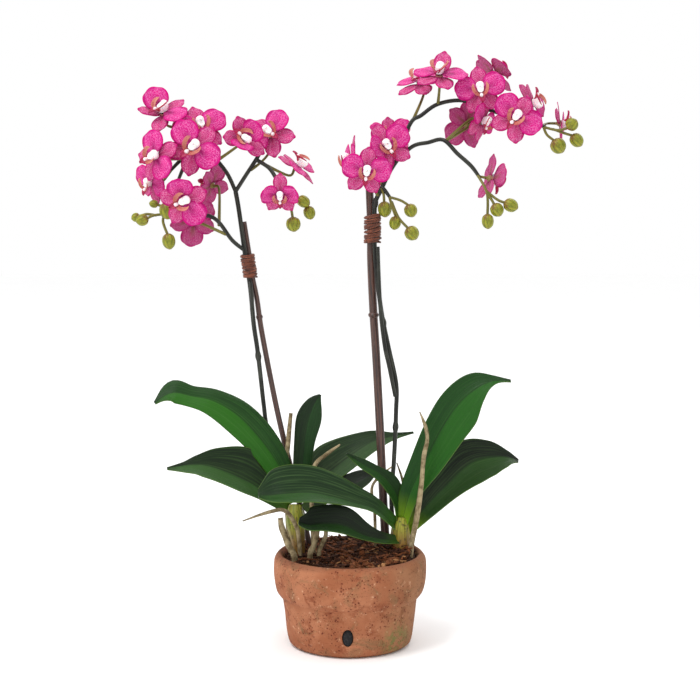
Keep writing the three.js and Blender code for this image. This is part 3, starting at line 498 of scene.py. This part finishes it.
def root_look():
    paint = Paint("aerial_root", 0.8, 0.3)
    mottle = paint.noise(paint.place(), 160, 4, 0.6)
    lines = paint.flow(1.2, 12)
    paint.colour = paint.mix(paint.range(mottle, 0.35, 0.65), (104, 88, 60), (164, 148, 114))
    paint.over(paint.range(lines, 0.55, 0.7, 0, 0.6), (74, 60, 40))
    return paint.finish(paint.add(mottle, lines), 0.5, 0.0005)


def cane_look():
    paint = Paint("dark_cane", 0.38, 0.5, coat=0.15)
    streaks = paint.flow(0.25, 16, 4, 0.6)
    fine = paint.flow(1.2, 60, 3, 0.6)
    paint.colour = paint.mix(paint.range(streaks, 0.4, 0.62), (40, 22, 18), (88, 54, 42))
    paint.over(paint.range(fine, 0.6, 0.75, 0, 0.6), (152, 118, 96))
    return paint.finish(fine, 0.3, 0.0004, paint.range(fine, 0.3, 0.7, 0.3, 0.55))


def raffia_look():
    paint = Paint("raffia", 0.7, 0.4, sheen=0.2)
    fibres = paint.flow(0.8, 10, 4, 0.6)
    patch = paint.noise(paint.place(), 240, 3)
    paint.colour = paint.mix(paint.range(fibres, 0.35, 0.65), (58, 24, 14), (142, 74, 44))
    paint.over(paint.range(patch, 0.5, 0.7, 0, 0.6), (46, 20, 14))
    return paint.finish(fibres, 0.7, 0.0006)


def stem_look(name, dark, light, share):
    """Flower stem: fine lengthwise painted sheen over a dark or olive skin, with patches of painted sheen.
    """
    paint = Paint(name, 0.42, 0.3)
    lines = paint.flow(0.3, 9, 4, 0.6)
    patch = paint.noise(paint.place(), 70, 3)
    # Painted sheen: the light colour, in fine lengthwise lines and in soft patches.
    paint.colour = paint.mix(paint.range(lines, 0.4, 0.7, 0, share), dark, light)
    paint.over(paint.range(patch, 0.52, 0.72, 0, 0.25), light)
    return paint.finish(lines, 0.3, 0.0004)


def bud_look():
    """Bud: yellow-green with reddish ribs from the base and a paler tip."""
    paint = Paint("bud", 0.5, 0.4, through=0.15)
    flat = paint.place("UV")
    reach = paint.axis(flat, "X")
    ribs = paint.flow(1.5, 14)
    paint.colour = paint.mix(paint.range(ribs, 0.35, 0.65), (98, 104, 14), (150, 150, 36))
    red = paint.add(reach, paint.range(ribs, 0.3, 0.7, -0.22, 0.22))
    paint.over(paint.range(red, 0.36, 0.04, 0, 0.7), (116, 66, 40))
    paint.over(paint.range(reach, 0.88, 1, 0, 0.5), (132, 96, 60))
    return paint.finish(ribs, 0.4, 0.0005)


def petal_look(name, field, vein, rim, middle):
    """Floral leaf: net of pale veins that fan from the foot, deeper rim and its own middle band, with
    painted shade in folds and towards the foot.
    """
    paint = Paint(name, 0.62, 0.12, through=0.03)
    flat = paint.place("UV")
    reach = paint.axis(flat, "X")
    across = paint.axis(flat, "Y")
    side = paint.off_middle(across)
    net = paint.cells(paint.place("UV", (9, 26, 1)), 1, "DISTANCE_TO_EDGE")
    fan = paint.flow(2.2, 34, 2, 0.5)
    dashes = paint.flow(14, 40, 2, 0.5)
    lines = paint.larger(paint.range(net, 0.1, 0.03), paint.range(fan, 0.54, 0.6))
    lines = paint.times(lines, paint.range(dashes, 0.38, 0.55, 0.25, 1))
    specks = paint.flow(26, 30, 3, 0.7)
    lines = paint.larger(lines, paint.range(specks, 0.57, 0.64))
    inner = paint.times(paint.range(side, 0.49, 0.34), paint.range(reach, 1, 0.82))
    lines = paint.times(lines, inner)
    tone = paint.flow(3, 4, 2)
    paint.colour = paint.mix(paint.range(tone, 0.35, 0.65), field, rim)
    paint.over(paint.times(lines, 0.45), vein)
    edge = paint.larger(paint.range(side, 0.43, 0.49), paint.range(reach, 0.92, 0.99))
    paint.over(paint.times(edge, 0.8), rim)
    foot = paint.times(paint.range(side, 0.2, 0.02), paint.range(reach, 0.8, 0.05, 0, 0.8))
    paint.over(foot, middle)
    # Painted shade: a deep magenta laid in soft folds and towards the foot of each floral leaf.
    fold_shade = paint.range(paint.flow(1.2, 6, 2), 0.5, 0.72, 0, 0.5)
    painted_shade = paint.larger(fold_shade, paint.range(reach, 0.3, 0.02, 0, 0.6))
    paint.over(painted_shade, (118, 4, 74))
    return paint.finish(paint.add(net, fan), 0.35, 0.0004)


def small_look(name, low, high, spot):
    """Column, lip and receptacle: a tone that runs from the foot to the tip, with soft spots."""
    paint = Paint(name, 0.5, 0.4, through=0.15)
    reach = paint.axis(paint.place("UV"), "X")
    spots = paint.noise(paint.place(), 520, 3, 0.6)
    paint.colour = paint.mix(paint.range(reach, 0.1, 0.85), low, high)
    paint.over(paint.range(spots, 0.52, 0.64, 0, 0.6), spot)
    return paint.finish(spots, 0.3, 0.0003)


class Shape:
    """Points in millimetres and faces with a look number and a flat place for each corner."""

    def __init__(self):
        self.points = []
        self.faces = []
        self.places = []
        self.looks = []

    def sheet(self, grid, look=0, reach=None, flip=False, wrap=False):
        """A grid of points as faces; reach gives the flat place of its rows."""
        grid = np.asarray(grid, float)
        rows, columns = grid.shape[:2]
        start = len(self.points)
        self.points.extend(grid.reshape(-1, 3))
        reach = np.linspace(0, 1, rows) if reach is None else reach
        last = columns if wrap else columns - 1
        across = np.linspace(0, 1, last + 1)
        for i in range(rows - 1):
            for j in range(last):
                ring = [(i, j), (i + 1, j), (i + 1, j + 1), (i, j + 1)]
                if flip:
                    ring.reverse()
                self.faces.append([start + a * columns + b % columns for a, b in ring])
                self.places.extend((reach[a], across[b]) for a, b in ring)
                self.looks.append(look)
        return start

    def blade(self, grid, thickness, front=0, back=0):
        """A thin closed leaf round a grid of points, thinner at its edges."""
        grid = np.asarray(grid, float)
        rows, columns = grid.shape[:2]
        down = np.gradient(grid, axis=0)
        side = np.gradient(grid, axis=1)
        way = np.cross(down, side)
        way /= np.maximum(np.linalg.norm(way, axis=2, keepdims=True), 1e-9)
        share = np.abs(np.linspace(-1, 1, columns)) ** 4
        half = way * (thickness / 2 * (1 - 0.55 * share))[None, :, None]
        top = self.sheet(grid + half, front)
        bottom = self.sheet(grid - half, back, flip=True)
        border = [(i, 0) for i in range(rows)]
        border += [(rows - 1, j) for j in range(1, columns)]
        border += [(i, columns - 1) for i in range(rows - 2, -1, -1)]
        border += [(0, j) for j in range(columns - 2, 0, -1)]
        for (i, j), (k, m) in zip(border, border[1:] + border[:1]):
            a = i * columns + j
            b = k * columns + m
            self.faces.append([top + a, bottom + a, bottom + b, top + b])
            first = (i / (rows - 1), j / (columns - 1))
            second = (k / (rows - 1), m / (columns - 1))
            self.places.extend([first, first, second, second])
            self.looks.append(front)

    def rod(self, path, radii, sides, steps, look=0, profile=None, by_share=False):
        """A closed rod along a smooth path; profile(share, angle) changes its radius."""
        places = [along(path, i / steps) for i in range(steps + 1)]
        radii = [[r] for r in radii]
        normal = np.cross([0, 1, 0], unit(places[1] - places[0]))
        if np.linalg.norm(normal) < 0.3:
            normal = np.cross([1, 0, 0], unit(places[1] - places[0]))
        loops = []
        length = [0.0]
        for i, place in enumerate(places):
            ahead = unit(places[min(i + 1, steps)] - places[max(i - 1, 0)])
            normal = unit(normal - ahead * np.dot(normal, ahead))
            second = np.cross(ahead, normal)
            radius = along(radii, i / steps)[0]
            loop = []
            for k in range(sides):
                angle = 2 * pi * k / sides
                r = radius * (profile(i / steps, angle) if profile else 1)
                loop.append(place + (normal * cos(angle) + second * sin(angle)) * r)
            loops.append(loop)
            if i:
                length.append(length[-1] + np.linalg.norm(place - places[i - 1]) / 10)
        if by_share:
            length = [value / length[-1] for value in length]
        start = self.sheet(loops, look, length, wrap=True, flip=True)
        for end, at in ((0, start), (steps, start + steps * sides)):
            self.points.append(np.mean(loops[end], axis=0))
            middle = len(self.points) - 1
            for k in range(sides):
                pair = [at + k, at + (k + 1) % sides]
                if end:
                    pair.reverse()
                self.faces.append([middle, *pair])
                self.places.extend([(length[end], 0.5)] * 3)
                self.looks.append(look)

    def moved(self, change):
        self.points = [change(point) for point in self.points]

    def mesh(self, name):
        mesh = bpy.data.meshes.new(name)
        mesh.from_pydata([tuple(np.asarray(p) * MM) for p in self.points], [], self.faces)
        return mesh


def add_object(name, data):
    thing = bpy.data.objects.new(name, data)
    bpy.context.collection.objects.link(thing)
    return thing


def round_angles(count):
    """Even angles round a full turn."""
    return np.linspace(0, 2 * pi, count + 1)[:-1]


def piece(name, shape, looks, slot, *nodes, smooth=True):
    """Makes an object of a shape, gives it its looks and lets it stand for CAD nodes."""
    mesh = shape.mesh(name)
    layer = mesh.uv_layers.new(name="UVMap")
    layer.data.foreach_set("uv", np.asarray(shape.places, float).ravel())
    for look in looks:
        mesh.materials.append(look)
    mesh.polygons.foreach_set("material_index", shape.looks)
    mesh.polygons.foreach_set("use_smooth", [smooth] * len(shape.faces))
    mesh.update()
    thing = add_object(name, mesh)
    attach(thing, BODY)
    if nodes:
        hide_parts(*nodes)
    return thing


def make_camera():
    data = bpy.data.cameras.new("camera")
    data.lens = CAMERA_LENS
    data.sensor_width = SENSOR_WIDTH
    camera = add_object("camera", data)
    camera.location = CAMERA_PLACE
    aim = Vector(CAMERA_AIM) - Vector(CAMERA_PLACE)
    camera.rotation_euler = aim.to_track_quat("-Z", "Y").to_euler()
    bpy.context.scene.camera = camera


def make_light(name, place, size, power):
    data = bpy.data.lights.new(name, "AREA")
    data.shape = "DISK"
    data.size = size
    data.energy = power
    lamp = add_object(name, data)
    lamp.location = place
    aim = Vector(LIGHT_AIM) - Vector(place)
    lamp.rotation_euler = aim.to_track_quat("-Z", "Y").to_euler()


def make_studio():
    bpy.context.scene.view_settings.view_transform = "Standard"
    world = bpy.data.worlds.new("studio")
    world.use_nodes = True
    world.node_tree.nodes["Background"].inputs["Color"].default_value = (1, 1, 1, 1)
    world.node_tree.nodes["Background"].inputs["Strength"].default_value = 1.0
    bpy.context.scene.world = world
    make_light("key", (-0.9, -0.9, 2.2), 0.9, 26)
    make_light("back", (0.8, 1.6, 1.8), 1.2, 12)
    mesh = bpy.data.meshes.new("floor")
    mesh.from_pydata([(-6, -6, 0), (6, -6, 0), (6, 6, 0), (-6, 6, 0)], [], [(0, 1, 2, 3)])
    floor = add_object("floor", mesh)
    paint = Paint("floor", 0.85, 0.2)
    grain = paint.noise(paint.place(), 9, 3)
    paint.colour = paint.mix(grain, (252, 252, 252), (255, 255, 255))
    mesh.materials.append(paint.finish())


def make_pot(look):
    """Turned pot with a slightly uneven wall and the weep hole cut through its front."""
    outline = POT_OUTSIDE + POT_INSIDE
    count = 5 * (len(outline) - 1)
    rows = [along(outline, i / count) for i in range(count + 1)]
    draw = random.Random(3)
    phases = [draw.uniform(0, 6.28) for unused in range(6)]
    shape = Shape()
    loops = []
    for radius, z in rows:
        loop = []
        for k in range(POT_SIDES):
            angle = 2 * pi * k / POT_SIDES
            uneven = sum(sin((n + 2) * angle + z * 0.05 * n + p) for n, p in enumerate(phases)) * 0.06
            r = radius + uneven
            loop.append([r * cos(angle), r * sin(angle), max(z, 0)])
        loops.append(loop)
    shape.sheet(loops, wrap=True, flip=True)
    for ring, z in ((loops[0], 0), (loops[-1], POT_INSIDE[-1][1])):
        rim = np.asarray(ring)
        disc = [rim * [share, share, 0] + [0, 0, z] for share in (1, 0.5, 0.02)]
        shape.sheet(disc, wrap=True, flip=z > 0)
    cut_weep_hole(piece("clay_pot", shape, [look], "clay", "pot"))


def cut_weep_hole(pot):
    """Welds the pot's seams and cuts the oval hole through its front."""
    x, z = HOLE_CENTRE
    wide, tall = HOLE_HALF
    cutter = Shape()
    cutter.rod([[x, -80, z], [x, -40, z]], [1, 1], 40, 1)
    cutter.moved(lambda p: np.array([x + (p[0] - x) * wide, p[1], z + (p[2] - z) * tall]))
    hole = add_object("hole", cutter.mesh("hole"))
    weld = pot.modifiers.new("weld", "WELD")
    weld.merge_threshold = 0.00001
    cut = pot.modifiers.new("weep_hole", "BOOLEAN")
    cut.object = hole
    cut.solver = "EXACT"
    bpy.context.view_layer.update()
    result = bpy.data.meshes.new_from_object(pot.evaluated_get(bpy.context.evaluated_depsgraph_get()))
    pot.modifiers.clear()
    pot.data = result
    bpy.data.objects.remove(hole)


def make_plug(look):
    """Domed oval plug just behind the face of the pot."""
    wide, tall = (half - 0.35 for half in HOLE_HALF)
    shape = Shape()
    rings = []
    for share, y in ((1, -53.7), (1, -56.6), (0.9, -57.3), (0.6, -57.8), (0.05, -58)):
        rings.append([[
            HOLE_CENTRE[0] + cos(a) * wide * share, y, HOLE_CENTRE[1] + sin(a) * tall * share,
        ] for a in round_angles(32)])
    shape.sheet(rings, wrap=True)
    piece("plug", shape, [look], "plug", "weep_plug")


def soil_height(x, y):
    """Height of the mulch above a point."""
    radius = hypot(x, y)
    heap = 2.5 * cos(radius / 30) + 0.045 * x + 0.04 * y
    return 82.5 + heap + 0.9 * sin(x * 0.37 + 1.3) * cos(y * 0.41) - max(radius - 56, 0) * 0.7


def mound(x, y):
    """Loose bark heaped against the right of the rim."""
    return 6 * exp(-((x - 52) ** 2 + (y + 2) ** 2) / 260)


def make_bed(draw, look):
    """The rough bed below the loose bark."""
    shape = Shape()
    rings = []
    for radius in np.linspace(1, SOIL_RADIUS, 30):
        ring = []
        for a in round_angles(90):
            x, y = radius * cos(a), radius * sin(a)
            ring.append([x, y, soil_height(x, y) + draw.uniform(-0.8, 0.5) - 1.2])
        rings.append(ring)
    foot = [[SOIL_RADIUS * cos(a), SOIL_RADIUS * sin(a), SOIL_BASE] for a in round_angles(90)]
    rings.append(foot)
    shape.sheet(rings, wrap=True)
    piece("mulch_bed", shape, [look], "bark", "substrate")


def widest(points):
    """The greatest distance from the pot's middle line."""
    return max(hypot(p[0], p[1]) for p in points)


def add_chip(shape, draw, x, y, limit):
    """A tilted bark chip with seven uneven sides."""
    size = draw.choice([1.4, 2.0, 2.6, 3.4, 4.6, 6.2])
    half = np.array([size, size * draw.uniform(0.35, 0.7), size * draw.uniform(0.14, 0.34)])
    middle = np.array([x, y, soil_height(x, y) + mound(x, y) * draw.random() + draw.uniform(-0.8, 1.6)])
    spin = draw.uniform(0, pi)
    tip = draw.gauss(0, 0.45)
    ahead = np.array([cos(spin) * cos(tip), sin(spin) * cos(tip), sin(tip)])
    side = unit(np.cross([0, 0, 1], ahead)) + np.array([0, 0, draw.gauss(0, 0.3)])
    side = unit(side - ahead * np.dot(side, ahead))
    up = np.cross(ahead, side)
    rings = []
    for level in (-1, 0, 1):
        ring = []
        for a in round_angles(7):
            jag = draw.uniform(0.72, 1.12) * (0.78 if level else 1)
            point = middle + ahead * half[0] * cos(a) * jag + side * half[1] * sin(a) * jag
            ring.append(point + up * half[2] * (level + draw.uniform(-0.2, 0.2)))
        rings.append(np.array(ring))
    look = draw.choices([0, 1, 2], [5, 4, 0.5])[0]
    bottom, top = (ring.mean(axis=0) + (ring - ring.mean(axis=0)) * 0.02 for ring in (rings[0], rings[-1]))
    if widest(np.concatenate(rings)) < limit:
        shape.sheet([bottom, *rings, top], look, wrap=True, flip=True)


def add_strand(shape, draw, x, y, limit):
    """A flat splinter of bark, slightly bent and tilted."""
    way = draw.uniform(0, pi)
    length = draw.uniform(7, 20)
    tip = draw.gauss(0, 0.22)
    middle = soil_height(x, y) + mound(x, y) + draw.uniform(0.4, 3.4)
    path = []
    for share in (-0.5, -0.2, 0.15, 0.5):
        turn = way + 0.3 * share
        height = middle + length * share * sin(tip) + draw.uniform(-0.3, 0.3)
        path.append([x + cos(turn) * length * share, y + sin(turn) * length * share, height])
    width = draw.uniform(0.7, 1.7)
    flat = draw.uniform(0.3, 0.55)
    look = draw.choices([0, 1, 2], [5, 5, 0.7])[0]
    if widest(path) < limit:
        radii = [width * 0.4, width, width * 0.9, width * 0.3]
        shape.rod(path, radii, 6, 6, look, profile=lambda t, a: flat + (1 - flat) * abs(sin(a)))


def add_fibre(shape, draw, x, y, limit):
    """A thin fibre that follows the bed."""
    way = draw.uniform(0, 2 * pi)
    length = draw.uniform(5, 15)
    path = []
    for share in (-0.5, -0.15, 0.2, 0.5):
        px = x + cos(way + share * 1.2) * length * share
        py = y + sin(way + share * 1.2) * length * share
        path.append([px, py, soil_height(px, py) + 1.1 + draw.uniform(-0.5, 1.6)])
    if widest(path) < limit:
        shape.rod(path, [0.15, 0.3, 0.28, 0.12], 5, 8)


def strew(add, shape, draw, count, spread, limit):
    """Strews one kind over the bed; what would reach past the limit is left out."""
    for unused in range(count):
        reach = spread * sqrt(draw.random())
        turn = draw.uniform(0, 2 * pi)
        add(shape, draw, reach * cos(turn), reach * sin(turn), limit)


def make_soil(looks):
    """Mulch: a rough bed, bark chips and strands lying over it, and fine fibres."""
    draw = random.Random(11)
    make_bed(draw, looks[0])
    bark = Shape()
    strew(add_chip, bark, draw, *CHIPS)
    strew(add_strand, bark, draw, *STRANDS)
    piece("bark_chips", bark, looks, "bark", smooth=False)
    fibres = Shape()
    strew(add_fibre, fibres, draw, *FIBRES)
    piece("mulch_fibres", fibres, [looks[3]], "bark")


def leaf_grid(row, seed):
    """Points of a leaf between its two spread halves, with a slight wave along the margins."""
    far, near, rib = row
    grid = []
    for i in range(LEAF_STEPS + 1):
        t = i / LEAF_STEPS
        centre = along(rib, t)
        ahead = unit(along(rib, min(t + 0.02, 1))[:3] - along(rib, max(t - 0.02, 0))[:3])
        f, n = (unit(np.asarray(way) - ahead * np.dot(way, ahead)) for way in (far, near))
        bow = unit(f + n)
        line = []
        for s in np.linspace(-1, 1, LEAF_COLUMNS):
            width = max(centre[4] if s < 0 else centre[3], 0.8)
            lift = -0.24 * width * abs(s) * (1 - abs(s)) + 0.35 * s * s * sin(11 * t + seed + 2 * s)
            ridge = 0.12 * cos(s * 22) * (1 - abs(s))
            line.append(centre[:3] + (n if s < 0 else f) * abs(s) * width + bow * (lift + ridge))
        grid.append(line)
    return grid


def make_leaves():
    for seed, (name, row) in enumerate(LEAVES.items()):
        shape = Shape()
        shape.blade(leaf_grid(row, seed), LEAF_THICKNESS)
        look = leaf_look(name + "_skin", *LEAF_LOOKS[name])
        piece(name + "_blade", shape, [look], "leaf", name)


def make_crowns(look):
    """Short stems wrapped in the ribbed bases of the leaves."""
    for name, (path, radii) in CROWNS.items():
        shape = Shape()
        shape.rod(path, radii, 36, 24, profile=lambda t, a: (
            1 + 0.035 * cos(9 * a + 5 * t) + 0.03 * sin(3 * a)))
        piece(name + "_sheath", shape, [look], "sheath", name)


def make_roots(look):
    for seed, (name, (path, radii)) in enumerate(ROOTS.items()):
        shape = Shape()
        shape.rod(path, radii, 14, 6 * (len(path) - 1), profile=lambda t, a: (
            1 + 0.05 * sin(3 * a + 17 * t + seed) + 0.05 * sin(23 * t + seed)))
        piece(name + "_skin", shape, [look], "root", name)


def make_canes(look):
    for name, (path, radii, knot) in CANES.items():
        shape = Shape()
        shape.rod(path, radii, 18, 8 * (len(path) - 1), profile=lambda t, a: 1 + 0.015 * cos(4 * a))
        x, y, z = knot
        ring = radii[len(radii) * 3 // 4]
        shape.rod([[x, y, z - 3], [x, y, z - 1], [x, y, z + 0.5], [x, y, z + 2.4]],
                  [ring * 0.9, ring * 1.3, ring * 1.35, ring * 0.9], 18, 9)
        piece(name + "_rod", shape, [look], "cane", name)


def make_ties(look):
    """Raffia wound round stem and cane in uneven turns of several strands."""
    for seed, (name, (low, high, half)) in enumerate(TIES.items()):
        draw = random.Random(seed + 5)
        low, high = np.array(low), np.array(high)
        shape = Shape()
        rise = (high - low) / TIE_TURNS
        for strand in range(TIE_STRANDS):
            path = []
            for k in range(TIE_TURNS * 14 + 1):
                angle = 2 * pi * k / 14 + strand * 0.4
                share = k / 14
                radius = half - 1.2 + 0.45 * sin(angle * 0.7 + 2 * strand) + draw.uniform(-0.2, 0.2)
                slant = (0.2 + 0.16 * sin(share * 2.1 + strand)) * sin(angle + seed)
                height = min(max(share + (strand - 1.5) * 0.22 + slant, 0.15), TIE_TURNS - 0.15)
                ring = np.array([cos(angle) * radius, sin(angle) * radius, 0])
                path.append(low + rise * height + ring)
            widths = [0.7 + 0.35 * draw.random() for unused in path]
            shape.rod(path, widths, 7, 2 * (len(path) - 1))
        piece(name + "_raffia", shape, [look], "raffia", name)


def facing(heading, rise, roll):
    """Right, top and outward way of a flower, as the solids have them."""
    h, e, r = (radians(value) for value in (heading, rise, roll))
    out = np.array([sin(h) * cos(e), -cos(h) * cos(e), sin(e)])
    up = unit(np.array([0, 0, 1]) - out * out[2])
    right = np.cross(up, out)
    top = up * cos(r) + right * sin(r)
    return np.cross(top, out), top, out


def stalk_path(row):
    """The places of a flower stalk, ending at the back of its bloom."""
    centre, heading, rise, roll, size, places = row[:6]
    out = facing(heading, rise, roll)[2]
    middle = np.array(centre, float)
    return [*places, middle - out * (6 * size + 7), middle - out * (6 * size - 0.5)]


def make_sprays(looks):
    """Stems with swollen nodes, flower stalks and ribbed buds of each spray."""
    for side, spray in SPRAYS.items():
        stems = Shape()
        stem = spray["stem"]
        stems.rod(stem, [STEM_RADIUS] * len(stem), 12, 5 * (len(stem) - 1))
        for path in spray["rods"]:
            radii = [BRANCH_RADIUS] * (len(path) - 1) + [BRANCH_RADIUS * 0.8]
            stems.rod(path, radii, 12, 6 * (len(path) - 1))
        for share in (0.3, 0.52, 0.8):
            place = along(stem, share)
            ahead = unit(along(stem, share + 0.01) - along(stem, share - 0.01))
            ends = [place + ahead * step for step in (-4, -1, 1.5, 5)]
            stems.rod(ends, [STEM_RADIUS, STEM_RADIUS * 1.35, STEM_RADIUS * 1.3, STEM_RADIUS * 0.95], 12, 9)
        piece(side + "_stems", stems, [looks["stem"]], "stem", side + "_spray")
        stalks = Shape()
        for name, row in BLOOMS.items():
            if name.startswith(side):
                path = stalk_path(row)
                stalks.rod(path, [1.5] + [1.15] * (len(path) - 2) + [1.3], 10, 6 * (len(path) - 1))
        buds = Shape()
        for path, centre, way, length, width in spray["buds"]:
            way = unit(way)
            centre = np.array(centre, float)
            stalk = [*path, centre - way * length * 0.42]
            stalks.rod(stalk, [PEDICEL_RADIUS] * len(stalk), 10, 6 * (len(stalk) - 1))
            ends = [centre + way * length * t for t in (-0.5, -0.35, -0.1, 0.15, 0.36, 0.5)]
            radii = [width * r for r in (0.2, 0.46, 0.56, 0.53, 0.38, 0.1)]
            buds.rod(ends, radii, 24, 20, by_share=True,
                     profile=lambda t, a: 1 + 0.035 * cos(6 * a) * sin(pi * t))
        piece(side + "_stalks", stalks, [looks["stalk"]], "stem")
        piece(side + "_buds", buds, [looks["bud"]], "stem")


def floral_grid(row, lift, outline, draw):
    """Points of one sepal or petal in the flower's own frame."""
    angle, length, half, start = row
    turn, bend = radians(angle), radians(lift)
    out = np.array([cos(turn) * cos(bend), sin(turn) * cos(bend), sin(bend)])
    side = np.array([-sin(turn), cos(turn), 0])
    front = np.cross(out, side)
    foot = np.array([cos(turn) * 2, sin(turn) * 2, start])
    phase = draw.uniform(0, 6.28)
    cup = draw.uniform(-0.09, 0.05)
    wave = draw.uniform(0.3, 0.75)
    shares = [[value] for value in outline]
    grid = []
    for i in range(FLORAL_STEPS + 1):
        t = i / FLORAL_STEPS
        reach = (length - 2) * t
        width = half * max(along(shares, t)[0], 0.02)
        line = []
        for s in np.linspace(-1, 1, FLORAL_COLUMNS):
            height = -0.004 * reach * reach + cup * s * s * width
            frill = wave * s * s * sin(phase + 7 * t + 2.2 * s) * t
            groove = 0.35 * (1 - abs(s)) ** 3 * (1 - t)
            height += frill - groove
            pull = -(s * s) * 0.07 * length * t ** 5
            line.append(foot + out * (reach + pull) + side * s * width + front * height)
        grid.append(line)
    return grid


def lip_grids():
    """Middle lobe and the two raised side lobes of the lip."""
    spread = np.linspace(-1, 1, 9)
    middle = [[-1.6, 1, 1.2], [-4.4, 4.2, 2.2], [-7, 5.4, 2.6], [-10, 6.2, 2.2], [-12.6, 6, 0.4]]
    lobe = []
    for i in range(13):
        y, z, width = along(middle, i / 12)
        lobe.append([[s * width, y + 0.5 * s * s, z + 1.3 * s * s] for s in spread])
    raised = [[1.2, -5.5, 5, 1.3], [3.7, -4.6, 6.8, 1.7], [5.6, -1.7, 8.4, 1.7], [6.3, 1.5, 9.4, 1.3],
              [5.4, 4, 10, 0.4]]
    sides = []
    for sign in (-1, 1):
        grid = []
        for i in range(15):
            x, y, z, width = along(raised, i / 14)
            way = along(raised, min(i / 14 + 0.03, 1)) - along(raised, max(i / 14 - 0.03, 0))
            across = unit([way[1], -way[0], 0.5 * hypot(way[0], way[1])])
            centre = np.array([x, y, z])
            line = [centre + across * s * width + [0, 0, 0.45 * width * s * s] for s in spread]
            grid.append([[sign * p[0], p[1], p[2]] for p in line])
        sides.append(grid)
    return lobe, sides


def flower(lifts, seed):
    """A flower of size 1 in its own frame: X right, Y to the top sepal, Z out of the face."""
    draw = random.Random(seed)
    shape = Shape()
    for number, row in enumerate(FLORAL_LEAVES):
        outline = SEPAL_OUTLINE if number < 3 else PETAL_OUTLINE
        lift = lifts[number] + draw.uniform(-3, 3)
        grid = floral_grid(row, lift, outline, draw)
        shape.blade(grid, PETAL_THICKNESS * 0.8, 2 if number < 3 else 0, 1)
    shape.rod([[0, 0, -6], [0, 0, -4.5], [0, 0, -2.6], [0, 0, 0]], [1.25, 1.7, 3, 3.2], 14, 9, 6)
    column = [[0, 0.6, 0.2], [0, 1.2, 3], [0, 1.8, 5.6], [0, 1.9, 7.6], [0, 1.4, 8.8]]
    shape.rod(column, [3.4, 4.4, 5, 4.1, 0.7], 20, 16, 3, by_share=True,
              profile=lambda t, a: 0.62 + 0.38 * abs(sin(a)) ** 1.5 + 0.06 * sin(3 * a))
    lobe, sides = lip_grids()
    shape.blade(lobe, 0.8, 4, 4)
    shape.blade(sides[0], 0.7, 5, 4)
    shape.blade(sides[1], 0.7, 4, 5)
    shape.rod([[0, -4.4, 4.6], [0, -5.6, 6], [0, -6.4, 7.2], [0, -6.9, 8]], [1.2, 1.6, 1.4, 0.4], 12, 9, 3)
    return shape


def make_blooms(looks):
    for seed, (name, row) in enumerate(BLOOMS.items()):
        centre, heading, rise, roll, size = row[:5]
        shape = flower(row[6] if len(row) > 6 else LIFTS, seed + 1)
        right, top, out = facing(heading, rise, roll)
        turn = np.column_stack([right, top, out]) * size
        shape.moved(lambda p: turn @ np.asarray(p) + np.array(centre))
        piece(name + "_flower", shape, looks, "petal", name)


make_camera()
make_studio()
make_pot(clay_look())
make_plug(plug_look())
make_soil([
    bark_look("bark_dark", (36, 20, 14), (84, 48, 30)),
    bark_look("bark_brown", (76, 40, 22), (140, 84, 50)),
    bark_look("bark_pale", (120, 76, 44), (186, 136, 92)),
    bark_look("mulch_fibre", (96, 66, 42), (158, 120, 84)),
])
make_crowns(sheath_look())
make_leaves()
make_roots(root_look())
make_canes(cane_look())
make_ties(raffia_look())
make_sprays({
    "stem": stem_look("stem_dark", (14, 14, 12), (84, 88, 76), 0.5),
    "stalk": stem_look("stalk_olive", (88, 84, 30), (138, 130, 66), 0.8),
    "bud": bud_look(),
})
make_blooms([
    petal_look("petal_face", (192, 0, 118), (246, 160, 216), (202, 0, 120), (146, 0, 86)),
    petal_look("petal_back", (176, 62, 118), (222, 152, 186), (178, 34, 112), (128, 88, 54)),
    petal_look("sepal_face", (176, 0, 102), (248, 190, 222), (190, 0, 108), (164, 30, 86)),
    small_look("column", (240, 222, 228), (255, 254, 252), (244, 214, 226)),
    small_look("lip_inside", (180, 56, 70), (164, 12, 76), (118, 6, 46)),
    small_look("lip_outside", (176, 92, 80), (196, 124, 106), (160, 30, 76)),
    small_look("receptacle", (126, 116, 56), (188, 110, 122), (150, 90, 80)),
])
